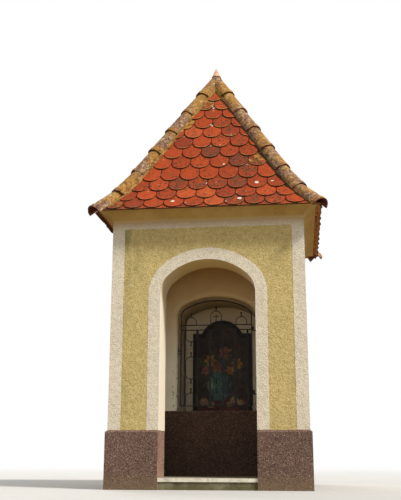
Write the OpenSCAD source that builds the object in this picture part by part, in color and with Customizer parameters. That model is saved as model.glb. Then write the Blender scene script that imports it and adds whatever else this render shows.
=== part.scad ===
// Wayside shrine: rendered masonry walls with a basket-arched opening, a barred
// niche over an altar block, a coved cornice and a steep bell-cast tiled roof.
// Millimetres. +X is right, +Y is back, +Z is up; the front faces -Y.
// The origin is the middle of the square plan, on the ground.

/* [Walls] */
// Side of the square plan, measured on the wall faces
wall_side = 1720; // [1500:10:2060]
// Thickness of the outer walls with their render
wall_thickness = 340; // [300:10:380]
// Height of the wall tops above the ground
wall_height = 2433; // [2380:1:2900]

/* [Plinth] */
// Height at which the plinth dies into the wall
plinth_height = 490; // [400:5:580]
// How far the plinth stands proud of the wall
plinth_proud = 20; // [10:1:40]
// Height of the sloped top edge of the plinth
plinth_slope = 16; // [8:1:40]

/* [Front opening] */
// Clear width of the opening
opening_width = 842; // [700:2:900]
// Height of the springing line above the ground
opening_spring = 1676; // [1400:1:1720]
// Rise of the basket arch above its springing
opening_rise = 300; // [260:1:350]
// Radius of the two haunches of the basket arch
opening_haunch = 220; // [160:1:240]

/* [Threshold] */
// Height of the concrete step between the piers
step_height = 66; // [40:1:100]
// Thickness of the marble slabs
slab_thickness = 30; // [20:1:50]
// How far the slabs stand out in front of the wall face
slab_nose = 8; // [0:1:18]
// Sideways place of the joint between the two slabs
slab_joint_x = 6; // [-60:1:60]

/* [Altar and niche] */
// Depth of the chamber in front of the altar, behind the front wall
chamber_depth = 400; // [300:5:450]
// Height of the altar block
altar_height = 690; // [600:5:760]
// Height of the ceiling over the chamber
ceiling_height = 2200; // [2080:5:2260]
// Thickness of the ceiling
ceiling_thickness = 50; // [30:5:80]
// Thickness of the wall that carries the niche
niche_wall_thickness = 120; // [90:5:160]
// Clear width of the niche
niche_width = 748; // [700:2:800]
// Height of the springing line of the niche arch
niche_spring = 1600; // [1450:5:1650]
// Rise of the niche arch above its springing
niche_rise = 185; // [170:1:230]
// Radius of the two haunches of the niche arch
niche_haunch = 120; // [90:1:150]
// Radius of the rounded plaster arris round the niche
arris_radius = 45; // [30:1:60]
// Thickness of the lining inside the niche
lining_thickness = 60; // [40:5:90]

/* [Cornice] */
// How far the cornice stands out from the wall
cornice_out = 108; // [90:1:130]
// Radius of the cove
cove_radius = 95; // [60:1:105]
// Height of the square edge above the cove
cornice_edge = 10; // [6:1:30]

/* [Roof] */
// Pitch of the upper roof, in degrees
roof_pitch = 61.6; // [56:0.1:64]
// Pitch at the eaves, in degrees
eave_pitch = 46.2; // [42:0.1:50]
// Level distance over which the slope flattens towards the eaves
bellcast_run = 302; // [220:1:420]
// Length of the underside that hangs over the cornice, along the slope
eave_lip = 46; // [30:1:60]
// Thickness of the tiles at the eaves
eave_thickness = 15; // [12:1:25]
// Thickness of the roof shell, square to the upper slope
roof_thickness = 90; // [70:1:110]

/* [Hip tiles] */
// Visible length of a hip tile, before it is evened out over the hip
hip_exposure = 324; // [260:1:400]
// Length that is covered by the next tile up
hip_overlap = 36; // [20:1:50]
// Outer radius at the wide lower end
hip_radius_low = 82; // [82:1:100]
// Outer radius at the narrow upper end
hip_radius_top = 70; // [60:1:70]
// Thickness of a hip tile
hip_thickness = 8; // [7:1:9]
// Length of the collar at the lower end
collar_length = 45; // [20:1:60]
// Height of the collar
collar_height = 5; // [3:1:10]
// Depth of the hip tile's axis below the line of the hip
hip_axis_depth = 28; // [22:1:40]
// How far the lowest tile runs past the eave, measured along one side
hip_nose = 5; // [0:1:50]
// How far the mortar shows beside the hip tiles
mortar_rim = 6; // [2:1:14]
// Distance from the eave to the end of the mortar
mortar_setback = 8; // [4:1:20]
// Gap between the mortar and the hip tiles' edges
mortar_gap = 0.3; // [0.2:0.1:0.6]

/* [Apex] */
// Radius of the small cone at the apex
cone_radius = 48; // [40:1:60]
// How far the cone's rim stands over the hip tiles
cone_brim = 14; // [4:1:20]
// Height of the cone
cone_height = 102; // [80:1:140]

/* [Picture] */
// Width of the picture frame
picture_width = 602; // [500:2:640]
// Height of the frame's shoulders above the altar
picture_shoulder = 818; // [700:2:850]
// Height of the rounded top above the shoulders
picture_crown = 136; // [100:1:160]
// Width of the rounded top at the shoulders
picture_crown_width = 416; // [340:2:440]
// Width of the frame's moulding
moulding_width = 38; // [24:1:50]
// Depth of the frame
moulding_depth = 26; // [18:1:36]
// Thickness of the painted panel
panel_thickness = 10; // [4:1:14]

/* [Gate] */
// Gap between the gate and the side of the niche
gate_side_gap = 28; // [24:1:32]
// Gap between the gate's foot and the altar
gate_foot_gap = 43; // [20:1:60]
// Distance from the niche wall's face back to the gate's middle
gate_setback = 25; // [20:1:30]
// Rise of the gate's arched top
gate_rise = 162; // [140:1:180]
// Radius of the haunches of the gate's arched top
gate_haunch = 100; // [80:1:110]
// Height of the gate's springing line
gate_spring = 1586; // [1450:1:1600]
// Width of the frame's flat iron, seen from the front
frame_iron = 9; // [7:0.5:14]
// Depth of the frame's flat iron
frame_depth = 20; // [14:1:24]
// Height of the lower rail above the altar
rail_height = 767; // [700:1:790]
// Distance between the two rails
rail_gap = 48; // [36:1:60]
// Thickness of the rails, seen from the front
rail_iron = 8; // [6:0.5:12]
// Depth of the rails
rail_depth = 14; // [12:1:18]
// Number of upright bars
bar_count = 6; // [5:1:7]
// Width of the upright bars
bar_width = 12; // [9:0.5:14]
// Gap between the outer bars and the frame
bar_end_gap = 26; // [10:1:40]

/* [Gate ornament] */
// Width of the bent strips
strip_width = 6; // [4:0.5:8]
// Height of the small turned finials
finial_height = 44; // [30:1:50]
// Height of the rings' lower ends above the altar
ring_low = 299; // [270:1:320]
// Height of the rings' upper ends above the altar
ring_high = 511; // [480:1:540]
// Straight leg of the arches on the gate's foot
foot_arch_leg = 64; // [30:1:80]
// Straight leg of the arches that hang from the lower rail
hanging_arch_leg = 56; // [30:1:80]
// Straight leg of the outer arches on the upper rail
outer_crest_leg = 22; // [10:1:40]
// Straight leg of the middle arch on the upper rail
middle_crest_leg = 80; // [60:1:100]
// Height of the cross under the middle arch
cross_height = 100; // [80:1:120]
// Length of each arm of the cross
cross_arm = 26; // [18:1:34]
// Height of the arms' undersides above the cross's foot
cross_arm_height = 74; // [60:1:90]
// Width of the cross's square bar
cross_bar = 6; // [4:0.5:8]

/* [Gate hinges and lock] */
// Radius of the hinge pins
pin_radius = 4; // [3:0.25:5]
// Running clearance of the pins
pin_clearance = 0.05; // [0.02:0.01:0.1]
// Wall of the hinge eyes round the pin
eye_wall = 4; // [3:0.5:5]
// Length of the hinge eyes
eye_length = 26; // [20:1:40]
// Distance from the gate's edge to the pin's axis
hinge_reach = 10; // [9:0.5:12]
// Height of the lower hinge above the gate's foot
low_hinge_height = 120; // [80:5:200]
// Distance of the upper hinge below the springing line
high_hinge_drop = 130; // [80:5:200]
// Depth to which pintles and staple are let into the wall
tail_depth = 50; // [30:5:60]
// Height of the lock above the altar
lock_height = 569; // [540:1:600]
// Radius of the hole in the lug and the staple
lug_hole = 3.5; // [3:0.25:4]
// Thickness of the lug's and the staple's plates
lock_plate_thickness = 4; // [3:0.5:5]
// Distance from the gate's middle back to the staple's plate
staple_setback = 14; // [10:1:18]
// Width of the padlock's body
padlock_width = 20; // [16:1:22]

/* [Hidden] */
$fn = 96;
// The bell-cast curve has a radius of about two metres, so it takes more facets
bell_facets = 480;
// Steps of a quarter of the niche arch, and of its rounded arris
arch_steps = 8;
arris_steps = 6;

render_white = "#e8e0cf";
render_yellow = "#dcc48a";
granulate = "#8a7166";
marble = "#cfc9bf";
cream = "#d9c79a";
clay_red = "#b5543a";
clay_old = "#b59a55";
clay_pale = "#dda48a";
iron = "#2b2a2c";

half = wall_side / 2;
inner = half - wall_thickness;
jamb = opening_width / 2;
slab_top = step_height + slab_thickness;
face_y = -inner + chamber_depth;
niche_y = face_y + niche_wall_thickness;
niche_jamb = niche_width / 2;

// Basket arch: half span a, rise b and haunch radius r give the crown radius. It is
// struck a touch tighter than the tangent one, so that the arcs cross at a clear point
crown_share = 0.998;
function tangent_radius(a, b, r) = ((a - r) * (a - r) + b * b - r * r) / (2 * (b - r));
function crown_radius(a, b, r) = crown_share * tangent_radius(a, b, r);
function haunch_angle(a, b, r) = asin((a - r) / (tangent_radius(a, b, r) - r));

// Roof profile: the eave's corners, the centre of the bell-cast curve and the apex
cornice_x = half + cornice_out;
bell_radius = bellcast_run / (sin(roof_pitch) - sin(eave_pitch));
eave_low = [cornice_x + eave_lip * cos(eave_pitch), wall_height - eave_lip * sin(eave_pitch)];
eave_high = eave_low + eave_thickness * [sin(eave_pitch), cos(eave_pitch)];
bell_centre = eave_high + bell_radius * [sin(eave_pitch), cos(eave_pitch)];
bell_start = bell_centre - bell_radius * [sin(roof_pitch), cos(roof_pitch)];
apex_z = bell_start[1] + bell_start[0] * tan(roof_pitch);
hollow_apex = apex_z - roof_thickness / cos(roof_pitch);
hollow_half = (hollow_apex - wall_height) / tan(roof_pitch);

// Hip line: its height and its slope at the distance x from the roof's middle
function slope_at(x) = x < bell_start[0] ? roof_pitch : asin((bell_centre[0] - x) / bell_radius);
function hip_z(x) = x < bell_start[0]
    ? apex_z - x * tan(roof_pitch)
    : bell_centre[1] - sqrt(bell_radius * bell_radius - pow(bell_centre[0] - x, 2));
function hip_slope(x) = atan(tan(slope_at(x)) / sqrt(2));

// Whole tiles fill the hip from its end at the eave to the apex
hip_end = eave_high[0] + hip_nose;
hip_length = norm([sqrt(2) * hip_end, apex_z - hip_z(hip_end)]);
hip_count = round(hip_length / hip_exposure);
hip_spacing = hip_length / hip_count;

// Lower end of hip tile k, counted from the eave
function hip_step(x) = hip_spacing * cos(hip_slope(x)) / sqrt(2);
function hip_x(k) = k == 0 ? hip_end : let (x = hip_x(k - 1)) x - hip_step(x - hip_step(x) / 2);
function hip_tilt(k) = atan2(hip_z(hip_x(k + 1)) - hip_z(hip_x(k)), sqrt(2) * (hip_x(k) - hip_x(k + 1)));

// The cone stands where the crowns of the hip tiles have closed in under its rim
cone_z = apex_z + (hip_radius_top - hip_axis_depth) / cos(hip_slope(0))
    - (cone_radius - cone_brim) * tan(hip_slope(0));

// Picture
picture_base = altar_height;
crown_circle = (pow(picture_crown_width / 2, 2) + pow(picture_crown, 2)) / (2 * picture_crown);
crown_centre = picture_base + picture_shoulder + picture_crown - crown_circle;

// Gate
gate_half = niche_jamb - gate_side_gap;
gate_y = face_y + gate_setback;
gate_foot = altar_height + gate_foot_gap;
low_rail_z = altar_height + rail_height;
high_rail_z = low_rail_z + rail_gap;
bar_first = -(gate_half - frame_iron - bar_end_gap - bar_width / 2);
bar_pitch = -2 * bar_first / (bar_count - 1);
bays = [for (i = [0 : bar_count - 2]) bar_first + (i + 0.5) * bar_pitch];
loop_radius = bar_pitch / 2 - bar_width / 2 - strip_width / 2;
hinge_x = gate_half + hinge_reach;
eye_radius = pin_radius + eye_wall;
hinge_heights = [gate_foot + low_hinge_height, gate_spring - high_hinge_drop];
// The staple's plate stops short of the gate; the padlock hangs beside the gate's edge
lock_gap = 6;
lock_x = -gate_half - padlock_width / 2 - 2;
lock_z = altar_height + lock_height;

// Walls

// Outline of a basket arch on legs; its springing line is y = 0
module basket_outline(a, b, r, leg) {
    big = crown_radius(a, b, r);
    reach = 1.5 * big;
    t = haunch_angle(a, b, r);
    translate([-a, -leg]) square([2 * a, leg]);
    for (s = [-1, 1]) translate([s * (a - r), 0]) circle(r);
    intersection() {
        translate([0, b - big]) circle(big);
        translate([0, b - big])
            polygon([[0, 0], [reach * sin(t), reach * cos(t)], [0, reach], [-reach * sin(t), reach * cos(t)]]);
    }
}

// A flat outline in the front's plane, pushed back from y0 by depth
module upright(y0, depth) {
    translate([0, y0 + depth, 0]) rotate([90, 0, 0]) linear_extrude(depth) children();
}

module slab_box(low, high) {
    translate(low) cube(high - low);
}

// Plinth block whose top edge slopes back to the wall face on the chosen sides
module plinth_block(low, high, left, right, front, back) {
    p = plinth_proud;
    h = plinth_height;
    s = plinth_slope;
    intersection() {
        translate([0, high[1] + 1, 0]) rotate([90, 0, 0]) linear_extrude(high[1] - low[1] + 2)
            polygon([
                [low[0], 0], [high[0], 0],
                [high[0], right ? h - s : h], [high[0] - (right ? p : 0), h],
                [low[0] + (left ? p : 0), h], [low[0], left ? h - s : h]
            ]);
        translate([low[0] - 1, 0, 0]) rotate([90, 0, 90]) linear_extrude(high[0] - low[0] + 2)
            polygon([
                [low[1], 0], [high[1], 0],
                [high[1], back ? h - s : h], [high[1] - (back ? p : 0), h],
                [low[1] + (front ? p : 0), h], [low[1], front ? h - s : h]
            ]);
    }
}

module plinth_pier_left() {
    out = half + plinth_proud;
    color(granulate) plinth_block([-out, -out], [-jamb, -inner], true, false, true, false);
}

module plinth_pier_right() {
    out = half + plinth_proud;
    color(granulate) plinth_block([jamb, -out], [out, -inner], false, true, true, false);
}

module plinth_left() {
    out = half + plinth_proud;
    color(granulate) plinth_block([-out, -inner], [-inner, inner], true, false, false, false);
}

module plinth_right() {
    out = half + plinth_proud;
    color(granulate) plinth_block([inner, -inner], [out, inner], false, true, false, false);
}

module plinth_back() {
    out = half + plinth_proud;
    color(granulate) plinth_block([-out, inner], [out, out], true, true, false, true);
}

module threshold_step() {
    color("#9b8f86") linear_extrude(step_height)
        polygon([
            [-jamb, -half], [jamb, -half], [jamb, -inner], [inner, -inner], [inner, face_y],
            [-inner, face_y], [-inner, -inner], [-jamb, -inner]
        ]);
}

module threshold_slab_left() {
    nose = -half - slab_nose;
    color(marble) translate([0, 0, step_height]) linear_extrude(slab_thickness)
        polygon([
            [-jamb, nose], [slab_joint_x, nose], [slab_joint_x, face_y],
            [-inner, face_y], [-inner, -inner], [-jamb, -inner]
        ]);
}

module threshold_slab_right() {
    nose = -half - slab_nose;
    color(marble) translate([0, 0, step_height]) linear_extrude(slab_thickness)
        polygon([
            [slab_joint_x, nose], [jamb, nose], [jamb, -inner],
            [inner, -inner], [inner, face_y], [slab_joint_x, face_y]
        ]);
}

module front_pier_left() {
    color(render_yellow) slab_box([-half, -half, plinth_height], [-jamb, -inner, opening_spring]);
}

module front_pier_right() {
    color(render_yellow) slab_box([jamb, -half, plinth_height], [half, -inner, opening_spring]);
}

module front_arch() {
    color(render_yellow) difference() {
        slab_box([-half, -half, opening_spring], [half, -inner, wall_height]);
        translate([0, 0, opening_spring]) upright(-half - 1, wall_thickness + 2)
            basket_outline(jamb, opening_rise, opening_haunch, opening_spring / 2);
    }
}

module side_wall_left() {
    color(render_yellow) slab_box([-half, -inner, plinth_height], [-inner, inner, wall_height]);
}

module side_wall_right() {
    color(render_yellow) slab_box([inner, -inner, plinth_height], [half, inner, wall_height]);
}

module back_wall() {
    color(render_yellow) slab_box([-half, inner, plinth_height], [half, half, wall_height]);
}

// Altar, niche and ceiling

module altar_block() {
    color(granulate) slab_box([-inner, face_y, 0], [inner, inner, altar_height]);
}

// Points of a basket arch on legs, from the foot of one leg round to the other
function basket_points(a, b, r, leg) =
    let (big = tangent_radius(a, b, r), t = haunch_angle(a, b, r), n = arch_steps)
    concat(
        [[a, -leg]],
        [for (i = [0 : n]) let (q = (90 - t) * i / n) [a - r + r * cos(q), r * sin(q)]],
        [for (i = [1 : 2 * n - 1]) let (q = 90 - t + t * i / n) [big * cos(q), b - big + big * sin(q)]],
        [for (i = [0 : n]) let (q = 90 + t + (90 - t) * i / n) [r - a + r * cos(q), r * sin(q)]],
        [[-a, -leg]]
    );

// How far the mouth of the niche widens, and at which depth, round its arris
function mouth_layer(q) = arris_radius * [1 - sin(q), 1 - cos(q)];

// Space of the niche through its wall, lofted through rings that widen to a rounded
// mouth along the legs, the haunches and the crown
module niche_void() {
    leg = niche_spring - altar_height + 1;
    layers = concat(
        [[arris_radius, -1]],
        [for (j = [0 : arris_steps]) mouth_layer(90 * j / arris_steps)],
        [[0, niche_wall_thickness + 1]]
    );
    rings = [
        for (layer = layers)
            [for (p = basket_points(niche_jamb + layer[0], niche_rise + layer[0], niche_haunch + layer[0], leg))
                [p[0], face_y + layer[1], niche_spring + p[1]]]
    ];
    n = len(rings[0]);
    last = (len(rings) - 1) * n;
    polyhedron(
        points = [for (ring = rings) each ring],
        faces = concat(
            [[for (i = [n - 1 : -1 : 0]) i], [for (i = [0 : n - 1]) last + i]],
            [for (j = [0 : len(rings) - 2], i = [0 : n - 1])
                [j * n + i, j * n + (i + 1) % n, (j + 1) * n + (i + 1) % n, (j + 1) * n + i]]
        )
    );
}

module niche_wall() {
    color(cream) difference() {
        slab_box([-inner, face_y, altar_height], [inner, niche_y, ceiling_height]);
        niche_void();
        pintle_tails();
        staple_tail();
    }
}

module niche_lining() {
    t = lining_thickness;
    color(cream) difference() {
        translate([0, 0, niche_spring]) upright(niche_y, inner - niche_y)
            basket_outline(niche_jamb + t, niche_rise + t, niche_haunch + t, niche_spring - altar_height);
        translate([0, 0, niche_spring]) upright(niche_y - 1, inner - niche_y + 2)
            basket_outline(niche_jamb, niche_rise, niche_haunch, niche_spring - altar_height + 1);
    }
}

module chamber_ceiling() {
    color(cream) slab_box([-inner, -inner, ceiling_height], [inner, niche_y, ceiling_height + ceiling_thickness]);
}

// Cornice

// Section through the whole cornice from side to side
module cornice_section() {
    bottom = wall_height - cornice_edge - cove_radius;
    difference() {
        translate([-cornice_x, bottom]) square([2 * cornice_x, wall_height - bottom]);
        for (s = [-1, 1]) {
            translate([s * (half + cove_radius), bottom]) circle(cove_radius);
            translate([s * (cornice_x + half + cove_radius + 1) / 2, bottom + cove_radius / 2 - 1])
                square([cornice_x - half - cove_radius + 1, cove_radius + 2], center = true);
        }
    }
}

// What lies on one side of the building, cut off along the diagonals
module quarter(turn, reach) {
    rotate([0, 0, turn]) linear_extrude(apex_z + 500)
        polygon([[0, 0], [-reach, -reach], [reach, -reach]]);
}

// The same section along both directions gives mitred corners
module cornice(turn) {
    reach = cornice_x + 10;
    color(cream) intersection() {
        difference() {
            intersection() {
                upright(-reach, 2 * reach) cornice_section();
                rotate([0, 0, 90]) upright(-reach, 2 * reach) cornice_section();
            }
            slab_box([-half, -half, 0], [half, half, wall_height + 10]);
        }
        quarter(turn, 2 * reach);
    }
}

module cornice_front() { cornice(0); }
module cornice_right() { cornice(90); }
module cornice_back() { cornice(180); }
module cornice_left() { cornice(270); }

// Roof

// The same point on the other side of the roof's middle
function across(p) = [-p[0], p[1]];

// Section through the tiled surface: straight above, bell-cast towards the eaves
module roof_section() {
    difference() {
        polygon([
            [-cornice_x, wall_height], across(eave_low), across(eave_high), across(bell_start), [0, apex_z],
            bell_start, eave_high, eave_low, [cornice_x, wall_height]
        ]);
        for (s = [-1, 1])
            translate([s * bell_centre[0], bell_centre[1]]) circle(bell_radius, $fn = bell_facets);
    }
}

module roof_hollow_section() {
    polygon([
        [-hollow_half - 1 / tan(roof_pitch), wall_height - 1],
        [hollow_half + 1 / tan(roof_pitch), wall_height - 1], [0, hollow_apex]
    ]);
}

module roof_body() {
    reach = eave_high[0] + 10;
    intersection() {
        upright(-reach, 2 * reach) roof_section();
        rotate([0, 0, 90]) upright(-reach, 2 * reach) roof_section();
    }
}

module roof_slope(turn) {
    reach = eave_high[0] + 10;
    color(clay_red) intersection() {
        difference() {
            roof_body();
            intersection() {
                upright(-reach, 2 * reach) roof_hollow_section();
                rotate([0, 0, 90]) upright(-reach, 2 * reach) roof_hollow_section();
            }
        }
        quarter(turn, 2 * reach);
    }
}

module roof_front() { roof_slope(0); }
module roof_right() { roof_slope(90); }
module roof_back() { roof_slope(180); }
module roof_left() { roof_slope(270); }

// Places a child on the hip, its foot at tile k's lower end, Z up along the hip
// and Y square to it; turn 0 is the hip towards +X
module on_hip(k) {
    b = hip_tilt(k);
    translate([sqrt(2) * hip_x(k), 0, hip_z(hip_x(k))])
        rotate([0, b - 90, 0]) rotate([0, 0, -90]) translate([0, -hip_axis_depth, 0]) children();
}

// Tapered half-round tile with a collar at its wide end
module hip_tile() {
    long = hip_spacing + hip_overlap;
    low = hip_radius_low;
    top = hip_radius_top;
    wall = hip_thickness;
    draft = 2;
    fillet = collar_length + 4;
    fall = (low - top) / long;
    rotate_extrude(angle = 180) polygon([
        [low - wall, 0], [low + collar_height, 0],
        [low + collar_height - draft, collar_length], [low - fall * fillet, fillet],
        [top, long], [top - wall, long]
    ]);
}

// The quarter of the plan that holds the hip towards +X, up to the cone's foot
module hip_quarter() {
    reach = 2 * wall_side;
    linear_extrude(cone_z) polygon([[0, 0], [reach, -reach], [reach, reach]]);
}

module hip_tiles(turn) {
    color(clay_old) rotate([0, 0, turn]) intersection() {
        for (k = [0 : hip_count - 1]) on_hip(k) hip_tile();
        hip_quarter();
    }
}

module hip_tiles_front_left() { hip_tiles(225); }
module hip_tiles_front_right() { hip_tiles(315); }
module hip_tiles_back_left() { hip_tiles(135); }
module hip_tiles_back_right() { hip_tiles(45); }

// Line of the hip tiles' axes as points (distance out, height), lowered by drop
function axis_point(k, drop) =
    let (b = (hip_tilt(max(k - 1, 0)) + hip_tilt(min(k, hip_count - 1))) / 2)
    [sqrt(2) * hip_x(k), hip_z(hip_x(k))] - (hip_axis_depth + drop) * [sin(b), cos(b)];

// Mortar bed under the hip towards +X, level with the lower edges of its tiles
module mortar_bed() {
    wide = 2 * (hip_radius_low + mortar_rim);
    intersection() {
        difference() {
            rotate([90, 0, 0]) linear_extrude(wide, center = true) polygon(concat(
                [for (k = [0 : hip_count]) axis_point(k, mortar_gap)],
                [for (k = [hip_count : -1 : 0]) axis_point(k, hip_radius_low)]
            ));
            for (k = [0 : hip_count - 2]) on_hip(k)
                translate([-wide, mortar_gap / 2 - mortar_gap, hip_spacing])
                    cube([2 * wide, hip_radius_low, hip_overlap + 1]);
        }
        hip_quarter();
    }
}

// Mortar between the hip tiles and the roof, kept back from the eaves
module hip_mortar() {
    edge = eave_high[0] - mortar_setback;
    color("#b9a060") difference() {
        intersection() {
            for (turn = [45 : 90 : 315]) rotate([0, 0, turn]) mortar_bed();
            slab_box([-edge, -edge, wall_height], [edge, edge, cone_z]);
        }
        roof_body();
    }
}

module apex_cone() {
    tip = 6;
    color(clay_pale) translate([0, 0, cone_z]) union() {
        cylinder(h = cone_height - tip, r1 = cone_radius, r2 = tip);
        translate([0, 0, cone_height - tip]) sphere(tip);
    }
}

// Picture

// Outline with square shoulders and a rounded top, drawn in by inset
module picture_outline(inset) {
    w = picture_width / 2 - inset;
    shoulder = picture_base + picture_shoulder - inset;
    translate([-w, picture_base + inset]) square([2 * w, shoulder - picture_base - inset]);
    intersection() {
        translate([0, crown_centre]) circle(crown_circle - inset);
        translate([-w, shoulder - 1]) square([2 * w, crown_circle]);
    }
}

module picture_frame() {
    color("#4a3524") difference() {
        upright(inner - moulding_depth, moulding_depth) picture_outline(0);
        upright(inner - moulding_depth - 1, moulding_depth + 2) picture_outline(moulding_width);
    }
}

module picture_panel() {
    color("#7d6a55") upright(inner - panel_thickness, panel_thickness) picture_outline(moulding_width);
}

// Gate

module gate_outline(inset) {
    translate([0, gate_spring])
        basket_outline(gate_half - inset, gate_rise - inset, gate_haunch - inset, gate_spring - gate_foot - inset);
}

module gate_frame() {
    color(iron) union() {
        upright(gate_y - frame_depth / 2, frame_depth) difference() {
            gate_outline(0);
            gate_outline(frame_iron);
        }
        upright(gate_y - rail_depth / 2, rail_depth) for (z = [low_rail_z, high_rail_z])
            translate([-gate_half + frame_iron / 2, z - rail_iron / 2])
                square([2 * gate_half - frame_iron, rail_iron]);
    }
}

module gate_bars() {
    low = gate_foot + frame_iron;
    color(iron) for (i = [0 : bar_count - 1])
        slab_box(
            [bar_first + i * bar_pitch - bar_width / 2, gate_y - bar_width / 2, low],
            [bar_first + i * bar_pitch + bar_width / 2, gate_y + bar_width / 2, low_rail_z - rail_iron / 2]
        );
}

// Small turned finial that stands on z = 0
module finial() {
    h = finial_height;
    translate([0, 0, 0.16 * h]) sphere(0.16 * h);
    cylinder(h = 0.8 * h, r = 0.09 * h);
    translate([0, 0, 0.42 * h]) cylinder(h = 0.06 * h, r = 0.15 * h);
    translate([0, 0, 0.78 * h]) sphere(0.2 * h);
}

// Bent strip: half a ring on two legs, its feet on z = 0
module strip_arch(leg) {
    r = loop_radius;
    w = strip_width;
    rotate([90, 0, 0]) linear_extrude(bar_width, center = true) {
        translate([0, leg]) intersection() {
            difference() {
                circle(r + w / 2);
                circle(r - w / 2);
            }
            translate([-2 * r, 0]) square([4 * r, 2 * r]);
        }
        for (s = [-1, 1]) translate([s * r - w / 2, 0]) square([w, leg]);
    }
    translate([0, 0, leg + r + w / 2 - 1]) finial();
}

module gate_rings() {
    middle = altar_height + (ring_high + ring_low) / 2;
    leg = (ring_high - ring_low) / 2 - loop_radius;
    color(iron) for (x = bays) translate([x, gate_y, middle]) {
        strip_arch(leg);
        mirror([0, 0, 1]) strip_arch(leg);
    }
}

module gate_arches() {
    color(iron) for (x = bays) {
        translate([x, gate_y, gate_foot + frame_iron]) strip_arch(foot_arch_leg);
        translate([x, gate_y, low_rail_z - rail_iron / 2]) mirror([0, 0, 1]) strip_arch(hanging_arch_leg);
    }
}

// Two arches and a taller one with a cross under it, all on the upper rail
module gate_crest() {
    w = cross_bar / 2;
    color(iron) translate([0, gate_y, high_rail_z + rail_iron / 2]) {
        for (x = [bays[0], bays[len(bays) - 1]]) translate([x, 0, 0]) strip_arch(outer_crest_leg);
        strip_arch(middle_crest_leg);
        slab_box([-w, -w, 0], [w, w, cross_height]);
        slab_box([-cross_arm, -w, cross_arm_height], [cross_arm, w, cross_arm_height + cross_bar]);
    }
}

// Eyes on the gate's hinge side, each turning on a pin
module gate_hinge_eyes() {
    plate = eye_wall;
    color(iron) for (z = hinge_heights) difference() {
        union() {
            translate([hinge_x, gate_y, z]) cylinder(h = eye_length, r = eye_radius);
            slab_box([gate_half, gate_y - plate, z], [hinge_x, gate_y + plate, z + eye_length]);
        }
        translate([hinge_x, gate_y, z - 1])
            cylinder(h = eye_length + 2, r = pin_radius + pin_clearance);
    }
}

// Square tails of the two pintles, let into the niche wall under the eyes
module pintle_tails() {
    w = eye_wall + 1;
    for (z = hinge_heights)
        slab_box([hinge_x, gate_y - w, z - 3 * w], [niche_jamb + tail_depth, gate_y + w, z - w]);
}

// Pins that carry the gate: each has a shoulder under the eye and a tip above it
module hinge_pintles() {
    shoulder = 15;
    tip = 6;
    color(iron) {
        for (z = hinge_heights) translate([hinge_x, gate_y, z - shoulder]) {
            cylinder(h = shoulder - 0.3, r = eye_radius);
            cylinder(h = shoulder + eye_length + tip, r = pin_radius);
        }
        pintle_tails();
    }
}

// Flat plate across the gap beside the gate, drilled for the padlock
module lock_plate(x0, x1, y0) {
    t = lock_plate_thickness;
    difference() {
        slab_box([x0, y0, lock_z - 2 * lug_hole], [x1, y0 + t, lock_z + 2 * lug_hole]);
        translate([lock_x, y0 - 1, lock_z]) rotate([-90, 0, 0]) cylinder(h = t + 2, r = lug_hole);
    }
}

module gate_lug() {
    color(iron) lock_plate(lock_x - 2.4 * lug_hole, -gate_half, gate_y - lock_plate_thickness);
}

// The staple's tail is let into the wall; its plate stands behind the lug
module staple_tail() {
    slab_box(
        [-niche_jamb - tail_depth, gate_y + staple_setback, lock_z - lug_hole],
        [-niche_jamb, gate_y + staple_setback + lock_plate_thickness, lock_z + lug_hole]
    );
}

module lock_staple() {
    color(iron) {
        staple_tail();
        lock_plate(-niche_jamb, -gate_half - lock_gap, gate_y + staple_setback);
    }
}

// Small padlock that hangs by its shackle from the hole in the lug
module padlock() {
    wire = 1.5;
    bend = 7;
    leg = 8;
    cheek = 3;
    slack = 0.6;
    drop = lug_hole + bend - wire - slack;
    color("#9a9c98") translate([lock_x, gate_y - lock_plate_thickness / 2, lock_z - drop]) {
        rotate([90, 0, 90]) rotate_extrude(angle = 180) translate([bend, 0]) circle(wire);
        for (s = [-1, 1]) translate([0, s * bend, -leg]) cylinder(h = leg, r = wire);
        translate([-padlock_width / 2, -bend - cheek, 1 - leg - padlock_width])
            cube([padlock_width, 2 * (bend + cheek), padlock_width]);
    }
}

plinth_pier_left();
plinth_pier_right();
plinth_left();
plinth_right();
plinth_back();
threshold_step();
threshold_slab_left();
threshold_slab_right();
front_pier_left();
front_pier_right();
front_arch();
side_wall_left();
side_wall_right();
back_wall();
altar_block();
niche_wall();
niche_lining();
chamber_ceiling();
cornice_front();
cornice_back();
cornice_left();
cornice_right();
roof_front();
roof_back();
roof_left();
roof_right();
hip_tiles_front_left();
hip_tiles_front_right();
hip_tiles_back_left();
hip_tiles_back_right();
hip_mortar();
apex_cone();
picture_frame();
picture_panel();
gate_frame();
gate_bars();
gate_rings();
gate_arches();
gate_crest();
gate_hinge_eyes();
gate_lug();
padlock();
hinge_pintles();
lock_staple();
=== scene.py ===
"""A wayside shrine: rendered walls, a barred niche over an altar and a steep tiled roof.

Metres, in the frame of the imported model: +X is right, +Y is back, +Z is up, and the
front with its arched opening faces -Y. The sections follow the shrine as it is built.
"""

import math
import random

import bmesh
import bpy
from mathutils import Matrix, Vector, noise


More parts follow.
